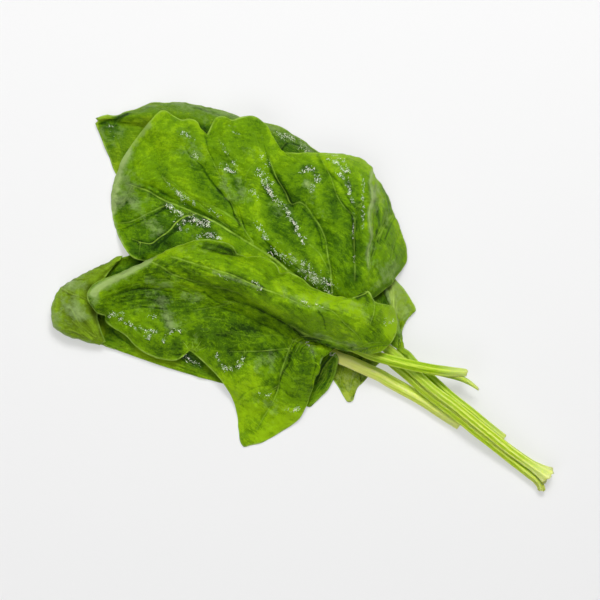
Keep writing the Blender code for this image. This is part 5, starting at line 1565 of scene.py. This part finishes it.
FRONT_VEINS = {
    (0.4, 0.4): [
        [(-42, -4), (-34, -2.8), (-26, -0.8)], [(-60.8, 7.6), (-54, 8.4), (-48, 6.4), (-40.8, 2.8)],
        [(21.2, -19.2), (27.6, -16.8), (34, -16.8)],
    ],
    (0.8, 0.45): [
        [(-44, -20), (-45.2, -18.4), (-46.4, -16.8)], [(-43.2, -20), (-42.8, -18.4), (-42.8, -16.8)],
        [(-42.4, -20), (-40.8, -18.4), (-39.6, -16.8)],
    ],
    (0.6, 0.4): [[(-41.2, -20.4), (-39.2, -19.6), (-37.6, -18.8)]],
    (0.8, 0.4): [[(-4.4, -20), (-2.8, -16.4), (1.2, -14.4), (4.8, -14.4)]],
    (0.7, 0.35): [[(-1.6, -20.4), (0, -17.6), (2.8, -16.4), (6.8, -16.4)]],
    (0.6, 0.35): [[(1.2, -21.2), (2.4, -19.2), (4.8, -18.4), (7.6, -18.8)]],
    (0.7, 0.7): [[(-3.6, -10), (3.6, -14), (7.6, -15.2), (14.8, -16.8), (19.6, -18), (26, -19.2)]],
    (0.35, 0.35): [[(-50, 4.8), (-44, 2.8), (-37.6, -0.4)], [(-46.8, 13.6), (-40, 10.4), (-32.8, 8.4)]],
    (0.3, 0.35): [[(-68.8, 5.2), (-64, 6.4), (-59.2, 6.4)], [(-8.6, -34), (-14, -37), (-18, -41)]],
    (0.45, 0.35): [[(-30, -0.4), (-25.2, -0.8)]],
    (0.5, 0.4): [[(-54.4, -16.4), (-53.2, -14), (-50.8, -12.4), (-47.6, -12)]],
    (0.9, 0.6): [
        [(-50.8, 17.2), (-43.2, 14.8), (-35.2, 12.4), (-26, 9.6), (-20, 6.8), (-13.2, 4), (-6.8, 1.6),
         (-1.6, -0.8), (2, -2.4), (8, -2.8), (12.8, -4.4), (17.2, -8.8), (21.2, -12.4), (23.6, -15.2)],
    ],
    (0.75, 0.6): [[(-58.8, 15.2), (-54.8, 13.2), (-50, 10), (-44, 8), (-38, 6), (-30, 3.6), (-23.2, 1.6)]],
    (0.8, 0.5): [
        [(20.8, 0.8), (25.2, 2.4), (27.6, 3.6), (28.8, 1.6), (29.2, -1.6), (28.8, -5.2), (27.6, -8.8)],
    ],
    (0.65, 0.6): [
        [(-4.8, -20.8), (-6.4, -25.2), (-8, -30.4), (-8.8, -36), (-11.6, -42), (-14.8, -47.2),
         (-17.6, -52)],
    ],
    (0.55, 0.45): [[(-4.4, -19.2), (-12, -20), (-21.2, -20.4), (-27.6, -20.4)]],
    (0.3, 0.3): [[(-22, -20), (-21.6, -24)]],
    (0.25, 0.4): [[(0, -17), (-8, -14), (-18, -14.5), (-28, -13), (-38, -14)]],
    (0.25, 0.35): [
        [(-30, -8), (-38, -7), (-44, -9), (-52, -12)], [(-7, -28), (-1, -33), (0, -39)],
        [(-6, 1), (-8, 6), (-12, 9)],
    ],
}
FRONT_CREASES = {
    (0.6, 0.6): [
        [(-74.8, 1.6), (-68, 3.6), (-60, 4.4), (-51.2, 3.2)], [(7.2, -4.4), (9.2, -7.2), (10, -11.2)],
        [(-3.6, -21.2), (-4.4, -24.8), (-6.8, -28.8), (-8.4, -33.6), (-10, -37.6)],
    ],
    (0.5, 0.5): [
        [(-72, -0.8), (-62, 0.4), (-52, -1.2)], [(-70, -3.6), (-60, -2.8), (-52.8, -4)],
        [(-38, 3.2), (-34, 0), (-27.2, -2.4)], [(4.8, -20), (6.4, -24.8), (5.2, -30.4), (4.4, -35.2)],
    ],
    (0.4, 0.6): [[(-48.8, 15.2), (-42, 13.2), (-34.4, 10.8), (-25.6, 8), (-17.6, 3.6)]],
    (0.3, 0.5): [[(-57.2, 12.8), (-52.8, 11.2), (-48, 8.8), (-41.6, 6.4), (-35.2, 3.6), (-28, 0)]],
    (1, 1.1): [[(-38, 20.8), (-32.8, 19.6), (-26.4, 18)]],
    (0.4, 0.4): [[(-20.8, -20.8), (-22, -23.6), (-22.4, -26.8)]],
    (0.8, 0.9): [[(-28, 0.4), (-20, -2), (-12.8, -5.2), (-6, -9.2)]],
    (0.5, 0.7): [[(-30, -3.6), (-22, -6), (-15.2, -9.2), (-8, -12.8)]],
    (0.7, 0.4): [[(-2.8, -20), (-1.2, -17.2), (1.6, -15.6), (5.6, -15.2)]],
    (0.6, 0.35): [[(0, -20.8), (1.2, -18.8), (3.6, -17.6), (7.2, -17.6)]],
    (0.5, 0.4): [[(22, -20.8), (28, -18.4), (34.4, -18)], [(-44.8, -18.4), (-44, -17.2)]],
    (0.4, 0.5): [[(-25.6, -40.8), (-21.6, -36.8), (-16.8, -34.4), (-12, -33.6)]],
}
# Painted light and painted shade on the blade: light and dark patches for how its dome, roll and valley are
# lit.
FRONT_TONES = {
    (0.1, 6): [[(-68.8, -2.4), (-56, -4.8)]],
    (0.25, 3): [[(31.2, -4.8), (35.2, -12)]],
    (0.15, 5): [[(-24, -36.8), (-15.2, -46.4)], [(12, 0), (24, -7.2)]],
    (0.6, 1.6): [[(-78.4, 2.4), (-75.2, 1.6)]],
    (0.5, 2): [
        [(-20, 0.8), (-10, -3.2), (0, -7.2)], [(-29.6, 0.8), (-21.6, -1.6), (-16.8, -4.8)],
        [(-22.8, -7.2), (-18.4, -7.2)],
    ],
    (0.5, 1.4): [
        [(2.4, -0.8), (5.6, -2.4)], [(-30.4, -20.8), (-28, -25.6)], [(-56, 9.6), (-44, 6.4), (-37.6, 4)],
        [(-12.8, -5.6), (-8, -4.8)], [(-2.4, -28.8), (2.4, -30.4)], [(-24, -44), (-17.6, -44.8)],
        [(-8.8, -49.6), (0.8, -42.4)], [(-46, -19), (-42, -17)],
    ],
    (-0.5, 1.2): [
        [(6.4, 7.2), (10.4, 3.2)], [(-52.8, -8), (-51.2, -10.4)], [(-30.4, -27.2), (-25.6, -24)],
        [(-56.8, 15.6), (-52.8, 14.4)], [(-54.4, -7.2), (-51.2, -11.2)], [(-28, 11.2), (-21.6, 8.8)],
        [(22.8, 0.8), (25.6, 0)], [(-25.2, 6.8), (-19.2, 2.4)],
    ],
    (-0.4, 1.4): [[(-65.6, 1.6), (-60, 2.4)], [(-61.6, -18.4), (-56.8, -21.6)]],
    (0.08, 8): [[(-44, -6.4), (-28, -11.2)]],
    (0.05, 6): [[(-64, 9.6), (-40, 3.2)]],
    (0.9, 2): [[(-80.4, 4), (-76.8, 6.4), (-72, 10)]],
    (-0.5, 0.8): [[(-84.4, 2.4), (-81.6, -3.6)]],
    (0.8, 1.2): [[(-60.8, 15.6), (-57.6, 16.8)], [(4.8, -17.6), (11.2, -19.2)]],
    (-0.4, 1): [[(-56, 15.2), (-52, 13.6)], [(-75.2, 0.8), (-66.4, 2.4)]],
    (-0.7, 1): [[(-59.2, 12.8), (-53.6, 10.4), (-46.4, 7.2)]],
    (0.7, 1.1): [[(-50.8, 12.8), (-45.6, 10)]],
    (0.7, 1.4): [[(-9.6, 6.4), (-6.4, 2.4)]],
    (-0.6, 1.2): [[(-15.2, 4), (-12, 0.8)], [(24, -12), (27.2, -16.8)], [(-78.4, -3.2), (-76.4, -8.8)]],
    (-0.5, 1): [[(-8.8, 11.2), (0, 6.4)]],
    (-0.7, 1.2): [[(2.4, 7.2), (7.2, 4), (10.4, 5.6)]],
    (-0.5, 1.4): [
        [(-57.6, 0.8), (-51.2, 0.8)], [(-4, -23.2), (-2.8, -28)], [(-49.6, 13.6), (-40, 10)],
        [(-41.2, -0.8), (-36.4, -3.2)],
    ],
    (0.6, 1.2): [
        [(-64.8, 0.8), (-61.6, 0)], [(-12, -34.4), (-9.6, -37.6)],
        [(-30.4, -28.8), (-26.8, -35.2), (-24.8, -44), (-24, -52)],
    ],
    (-0.4, 1.2): [
        [(-48, -15.2), (-46.8, -20)], [(-12, -32), (-9.6, -34.4)], [(-44, -12.8), (-40.8, -16.8)],
        [(7.2, -8.8), (8, -13.6)],
    ],
    (0.7, 1.2): [[(-0.8, -15.6), (3.2, -17.2)], [(5.6, -28.8), (5.2, -32.8)]],
    (0.8, 1.4): [[(10.4, -24), (8.8, -27.2)], [(-30.4, 12), (-27.2, 9.6)]],
    (0.6, 1.4): [
        [(-9.6, -52.8), (-3.2, -48.8), (1.6, -44)], [(-28.8, -36.8), (-25.6, -44), (-24, -52)],
        [(-42, -7.2), (-40, -8)], [(-15.2, -27.2), (-12.8, -29.6)], [(11.2, -15.2), (16, -17.6)],
        [(25.6, -8.8), (29.6, -11.2)],
    ],
    (0.8, 1.6): [[(-61.6, 15.2), (-58.4, 16.8)]],
    (-0.6, 1.4): [
        [(-7.2, -1.6), (-2, -5.6)], [(31.2, -14.4), (34.4, -16.8)], [(-17.2, 12.8), (-13.6, 10)],
        [(-50, -16.8), (-48, -22.4)],
    ],
    (-0.4, 1.6): [
        [(-76, 1.6), (-70.4, -0.8)], [(-21.6, -40.8), (-15.2, -37.6)], [(-28.8, 15.2), (-20.8, 11.6)],
    ],
    (-0.6, 1): [[(-84.8, 2.4), (-83.2, -1.6), (-80.8, -4.8)]],
    (0.5, 1.2): [[(-37.6, 11.2), (-34.4, 8)], [(-0.8, -2), (4.8, -3.2)]],
    (0.7, 1.8): [[(-64.8, 15.2), (-59.2, 16.8), (-53.6, 19.2)]],
    (-0.5, 1.8): [[(-44.8, 18.8), (-33.6, 14.8)], [(-28.8, -20.8), (-25.2, -28)]],
    (-0.5, 1.6): [[(-60.8, 11.2), (-53.2, 8.4)], [(-20, -52.8), (-13.2, -50.4)]],
    (-0.5, 2): [[(-40, 4.8), (-34.8, 0.4)], [(15.2, -1.6), (18.8, -8.8)]],
    (-0.6, 1.6): [[(-55.2, 0), (-52.4, -9.2)]],
    (-0.7, 2.2): [[(-30.4, -14), (-24, -10.8), (-16.8, -12.4)]],
    (0.9, 1.6): [[(-19.6, -26.4), (-17.6, -33.6)]],
    (-0.7, 1.4): [[(-13.2, -33.6), (-10.8, -34.4)]],
    (-0.4, 1.8): [[(-15.2, -19.2), (-6.4, -22.4)]],
    (0.6, 1): [[(-45.2, -17.6), (-44, -22)]],
    (0.4, 1.4): [[(-11.2, 3.6), (-4.8, -0.4)]],
    (0.5, 1.6): [[(24.8, -0.8), (32.8, -4)]],
    (-0.6, 3.2): [[(-62.8, 0), (-54, -1.6), (-46.8, -2.4)], [(-40.8, -15.2), (-36, -16.8), (-28.8, -20)]],
    (-0.5, 3): [[(-40, -12), (-31.2, -7.2), (-20.8, -10.4)]],
    (-0.5, 2.4): [[(-56, -20), (-48, -19.2)]],
    (-0.6, 4): [[(-21.6, -51.2), (-15.2, -46.4)]],
    (0.8, 2.6): [
        [(-65.6, 13.6), (-60, 16.8), (-50, 19.6), (-40.8, 15.2), (-32, 11.6)],
        [(-31, -31), (-26.4, -40), (-24, -50)],
    ],
    (0.6, 2.4): [[(-48.8, 8.4), (-42, 5.2), (-33.6, 1.2)]],
    (-0.35, 3): [[(-0.8, 4.8), (14, 0.8)], [(-46, -2), (-40, -6)]],
    (0.4, 1.6): [[(-11.2, 2.8), (-6, 0.4)]],
    (0.7, 2): [[(23.2, -18.8), (32.8, -20)]],
    (-0.7, 1.8): [[(31.6, -12), (34, -15.6)]],
    (-0.3, 3): [[(10, -4.8), (18, -12)]],
    (0.4, 2): [[(0, -16.8), (7.2, -19.2)], [(-40, -19), (-42, -15)]],
    (-0.6, 2.4): [[(28.8, -10.4), (31.2, -13.6)]],
    (0.5, 3): [[(14, 0), (20.8, -2.4)], [(6, -9.6), (16, -12.6), (24, -14.4)]],
    (0.35, 4): [[(-15.2, -36), (-20, -48)], [(-24, 2), (-12, -2)]],
    (-0.2, 2.4): [[(-6.8, -8.8), (-15.2, -3.6), (-24, 0.4), (-34, 2.8)]],
    (-0.35, 4.0): [[(-14, -7), (-20, -10)]],
    (-0.7, 1.5): [[(-56, 3.6), (-64, 4.4), (-70, 4)]],
    (-0.4, 2.2): [[(-60, 0), (-68, 0.6)]],
    (-1.3, 1.5): [[(-37, 22.2), (-31.2, 20.4), (-25.6, 18.8)]],
    (-0.4, 5.0): [[(-30, -12), (-22, -18), (-12, -22)]],
    (-0.5, 4.0): [[(-1, -22), (2, -30)]],
    (-1.0, 1.1): [[(-4, -10.4), (4, -15), (12, -18.2), (18, -20)]],
    (-0.2, 3.0): [[(0, -4.8), (6, -7), (11, -11)], [(27.6, -13), (30.4, -9)]],
    (0.8, 4.5): [[(-5, 6), (3, 3), (14, -2), (22, -5)]],
    (0.6, 2.8): [[(4, 1.6), (14, 0.6)]],
    (1.8, 3.6): [[(33.4, -14), (36, -10), (37, -6)]],
    (-0.7, 1.6): [[(22.5, 1.6), (26, 2.2), (26.6, -1)]],
    (0.5, 4.0): [[(12, -8), (22, -11)], [(-10, -40), (-14, -46)]],
    (0.1, 4.0): [[(-68, -14), (-60, -19), (-52, -20)]],
    (0.3, 3.4): [[(-72, -7), (-62, -9)]],
    (1.2, 4.0): [[(-4, -45), (-10, -49), (-16, -54)]],
    (0.8, 5.0): [[(-23, -31), (-20, -40), (-20, -52)]],
    (0.4, 3.4): [[(-54, 15.6), (-40, 20), (-28, 15.4), (-12, 12)]],
    (0.5, 2.6): [[(-24, 14), (-15.2, 10)]],
}
# Pale patches: painted sheen, with a painted highlight along the upper edge of the dome.
FRONT_PAINTED_SHEEN = {
    (0.12, 6): [[(-68, 0), (-52, -2.4)]],
    (0.5, 2.6): [[(-80.8, 3.6), (-76, 6.4), (-69.6, 9.6)]],
    (0.7, 2): [[(-67.2, 12), (-61.6, 15.2)]],
    (0.4, 5): [[(-56, 0)]],
    (0.5, 2): [[(-53.6, -6.4), (-51.2, -10.4)], [(2, -18.4), (5, -20.4)]],
    (1.5, 1.2): [[(-60, 15.2), (-67.4, 11.4), (-74.4, 7.8), (-79, 5.2), (-81.6, 2.6)]],
    (0.8, 2.0): [[(-82.4, 2.6), (-81.4, 0)]],
    (0.55, 1.8): [[(-60, 7.4), (-50, 6.6)]],
    (0.65, 2.4): [[(-46, 2.8), (-40.8, 1.2)]],
    (0.55, 2.8): [[(-52, -6), (-48.4, -8.4)]],
    (0.4, 2.0): [[(-52, -10.8)]],
    (0.9, 1.5): [[(-60, 15.8), (-57.6, 16.6)]],
    (0.4, 3.0): [[(-46, 19.2), (-38, 20.4)]],
    (0.6, 1.8): [[(-7, 3), (0, -0.2)]],
    (0.45, 3.0): [[(18, -2), (26, -5)]],
    (0.7, 1.1): [[(6, -13), (16, -16.6), (22, -17.6)]],
    (0.55, 3.4): [[(-17, -26), (-12, -24)]],
    (0.45, 3.4): [[(-15, -40), (-10, -43)]],
    (0.9, 0.9): [[(-34, 11.2), (-24, 7.4), (-16, 4.8)]],
    (0.4, 2.5): [[(3, -1), (10, -2)]],
    (0.3, 3.0): [[(-42, -17), (-40, -13)]],
}
FRONT_WET = {
    (1, 0.9): [
        [(-75.6, -6), (-72.8, -5.2), (-70.4, -6)], [(-72, -7.2), (-68.8, -9.2), (-66, -10.8), (-64, -11.2)],
    ],
    (0.8, 0.6): [[(-62, -12), (-59.2, -12), (-56.4, -13.2)]],
    (0.8, 0.8): [[(-61.2, -14.8), (-59.6, -14.4)], [(-18.4, 6.8), (-15.2, 4.8)]],
    (0.5, 0.9): [[(-60, -6.4), (-57.2, -7.2)]],
    (0.9, 0.5): [[(-54.4, -16.4), (-53.2, -14), (-50.8, -12.4), (-47.6, -12)]],
    (1, 0.8): [[(-32.8, -22), (-32, -24.8), (-29.2, -27.2), (-25.2, -27.2), (-22.8, -23.2)]],
    (0.9, 1.2): [[(-15.2, -36.4), (-12, -37.6)]],
    (0.9, 1.1): [[(-4.8, -44), (-0.8, -42.8)]],
    (1, 1.2): [[(33.6, -8.4), (36, -8.4)]],
    (0.7, 1): [[(1.6, -16.4), (4.8, -19.6)]],
    (0.6, 0.8): [
        [(1.2, -0.4), (5.2, -2), (8.8, -2.4)], [(-31.2, 9.6), (-27.2, 8.4)], [(14, -2.4), (16, -4.4)],
    ],
}
FRONT_RELIEF = {
    (-0.7, 3.0): [[(-6.8, -8.8), (-15.2, -3.6), (-24, 0.4), (-36, 2.6)]],
    (-0.8, 1.6): [[(-54, 4), (-64, 4.6), (-70, 4)]],
    (0.5, 2.0): [[(-60, 7.6), (-48, 6.6)]],
    (0.6, 3.0): [[(-46, 1), (-42, -1)]],
    (-1.2, 1.5): [[(-38, 21.8), (-31.2, 20), (-25.6, 18.4)]],
    (0.8, 3.0): [[(-68, -12), (-58, -16), (-50, -18)]],
    (-0.7, 2.4): [[(-56, -6), (-44, -12), (-40, -18)]],
    (0.8, 4.0): [[(-18, -28), (-14, -36)]],
    (0.7, 3.5): [[(0, -30), (-3, -40)]],
    (0.8, 3.4): [[(-28, -10), (-20, -14)]],
    (-0.7, 1.6): [[(-28, -20), (-14, -20), (-6, -18)]],
    (-0.8, 1.8): [[(-4.8, -21), (-8, -31), (-12, -43)]],
    (0.6, 2.0): [[(-34, 12), (-22, 7.6), (-8, 2.4)]],
    (-0.7, 2.0): [[(-48, 10), (-36, 6), (-26, 2.8)]],
    (-0.6, 3.0): [[(4, -6), (12, -10)]],
    (0.5, 3.0): [[(18, -3), (24, -8)]],
}
front_vein = veined(front_flat, FRONT_VEINS)
front_crease = veined(front_flat, FRONT_CREASES)
front_relief = 0.85 * drawn(front_flat, FRONT_RELIEF)
front_relief += puckers(front_flat, height=0.20, size=8.0, seed=41)
front_relief -= 0.4 * vein_groove(front_vein) + 0.35 * vein_groove(front_crease)
front_laid = laid_down(front_flat, front_relief)
front_fields = patches_of(
    front_laid, FRONT_TONES, FRONT_PAINTED_SHEEN, FRONT_WET, tone_share=0.8, sheen_share=0.7,
)
front_skin = leaf_material(
    "front_leaf_skin", deep=(0.016, 0.045, 0.0005), dark=(0.060, 0.145, 0.0005),
    fresh=(0.160, 0.325, 0.0005), bright=(0.31, 0.54, 0.003), streaks=1.2,
)
front_blade = blade_piece(
    "front_leaf_blade", front_laid, front_vein, front_crease, front_fields, front_skin,
)
hand_in(front_blade, "front_blade")
drops_on(front_blade, seed=6)

FRONT_STALK = [
    (20, -18.4, 13.6), (28, -21.5, 13.7), (36, -23.9, 14.0), (44, -25.9, 14.0), (52, -27.5, 13.2),
    (60, -28.6, 11.6), (66, -28.9, 10.2),
]
TORN_STRIP = [
    (55, -29.1, 12.1), (60, -29.9, 11.2), (64, -31.1, 10.4), (67.6, -33, 9.8), (70.4, -35.1, 9.4),
]
TORN_STRIP_RADII = (1.0, 1.35, 1.35, 1.05, 0.6)
TORN_STRIP_RINGS = 30
front_flesh = stem_material(
    "front_leaf_stalk", groove=(0.24, 0.42, 0.002), flesh=(0.37, 0.58, 0.008), crest=(0.56, 0.74, 0.07),
    end=(0.72, 0.84, 0.26), leafward=(0.42, 0.62, 0.03), leaf_from=25.0,
)
centres, radii = stem_course(front_laid, FRONT_STALK, rib_column=68, reach=0.8, radius=2.2, flare=0.66)
front_tube = stalk_tube(centres, radii, ridges=5, depth=0.12, torn=0.6, seed=6)
torn_shares = evenly(TORN_STRIP_RINGS)
torn_route = smooth_curve(TORN_STRIP, torn_shares)
torn_radii = np.interp(torn_shares, evenly(len(TORN_STRIP_RADII)), TORN_STRIP_RADII)
torn_strip = stalk_tube(torn_route, torn_radii, ridges=3, depth=0.12, torn=0.8, seed=7)
hand_in(stem_piece("front_leaf_stem", [front_tube, torn_strip], front_flesh), "front_stem")

# The table and the light
# A white table under the heap, lit softly from the far side, and a camera straight above. The table also
# glows, a little more towards the far side: painted light that softens the shadows and stands in for the
# light falling off towards the near side.

LOOK_DOWN = 1.4
VIEW_WIDTH = 0.24
SENSOR = 36.0
TABLE_REACH = 3.0
centre = Vector((heap_place[0] * METRE, heap_place[1] * METRE, 0.0))

floor_mesh = bpy.data.meshes.new("table_top")
floor_corners = [(x * TABLE_REACH, y * TABLE_REACH, 0) for x, y in ((-1, -1), (1, -1), (1, 1), (-1, 1))]
floor_mesh.from_pydata(floor_corners, [], [(0, 1, 2, 3)])
floor = bpy.data.objects.new("table_top", floor_mesh)
bpy.context.scene.collection.objects.link(floor)
white, table_tree, table_surface = new_skin("white_table")
table_place = add_node(table_tree, "ShaderNodeTexCoord").outputs["Object"]
backwards = add_node(table_tree, "ShaderNodeVectorMath", {"operation": "DOT_PRODUCT"},
                     {0: table_place, 1: tuple(FROM_HEAP[1])}).outputs["Value"]
filled(table_tree, table_surface, {
    "Base Color": (0.42, 0.42, 0.42, 1.0),
    "Roughness": 0.7,
    "Emission Color": (1.0, 1.0, 1.0, 1.0),
    # The glow: painted light, brighter towards the far side.
    "Emission Strength": remapped(table_tree, backwards, -0.12, 0.12, 0.415, 0.465),
})
floor_mesh.materials.append(white)

world = bpy.data.worlds.new("soft_room")
world.use_nodes = True
room = world.node_tree
facing = add_node(room, "ShaderNodeTexCoord").outputs["Generated"]
upward = add_node(room, "ShaderNodeSeparateXYZ", None, {0: facing}).outputs["Z"]
filled(room, room.nodes["Background"], {"Strength": remapped(room, upward, 0.0, 0.8, 0.75, 0.10)})
bpy.context.scene.world = world


def softbox(name, azimuth, height_angle, distance, size, power):
    """A square area light that looks at the heap from an angle on the heap's own compass."""
    light = bpy.data.lights.new(name, "AREA")
    light.shape = "SQUARE"
    light.size = size
    light.energy = power
    lamp = bpy.data.objects.new(name, light)
    compass = math.radians(azimuth) + BUNDLE_TURN
    height = math.radians(height_angle)
    flat = math.cos(height)
    aim = Vector((math.cos(compass) * flat, math.sin(compass) * flat, math.sin(height)))
    lamp.location = centre + aim * distance
    lamp.rotation_euler = (-aim).to_track_quat("-Z", "Y").to_euler()
    bpy.context.scene.collection.objects.link(lamp)


softbox("key_softbox", azimuth=78.0, height_angle=60.0, distance=1.5, size=0.42, power=13.6)
softbox("far_softbox", azimuth=88.0, height_angle=68.0, distance=1.6, size=1.6, power=12.0)
softbox("near_softbox", azimuth=235.0, height_angle=52.0, distance=1.8, size=1.2, power=9.4)

camera = bpy.data.objects.new("camera", bpy.data.cameras.new("camera"))
camera.data.sensor_width = SENSOR
camera.data.lens = SENSOR * LOOK_DOWN / VIEW_WIDTH
camera.location = centre + Vector((0, 0, LOOK_DOWN))
camera.rotation_euler = (0.0, 0.0, BUNDLE_TURN)
bpy.context.scene.collection.objects.link(camera)
bpy.context.scene.camera = camera
bpy.context.scene.view_settings.view_transform = "Standard"
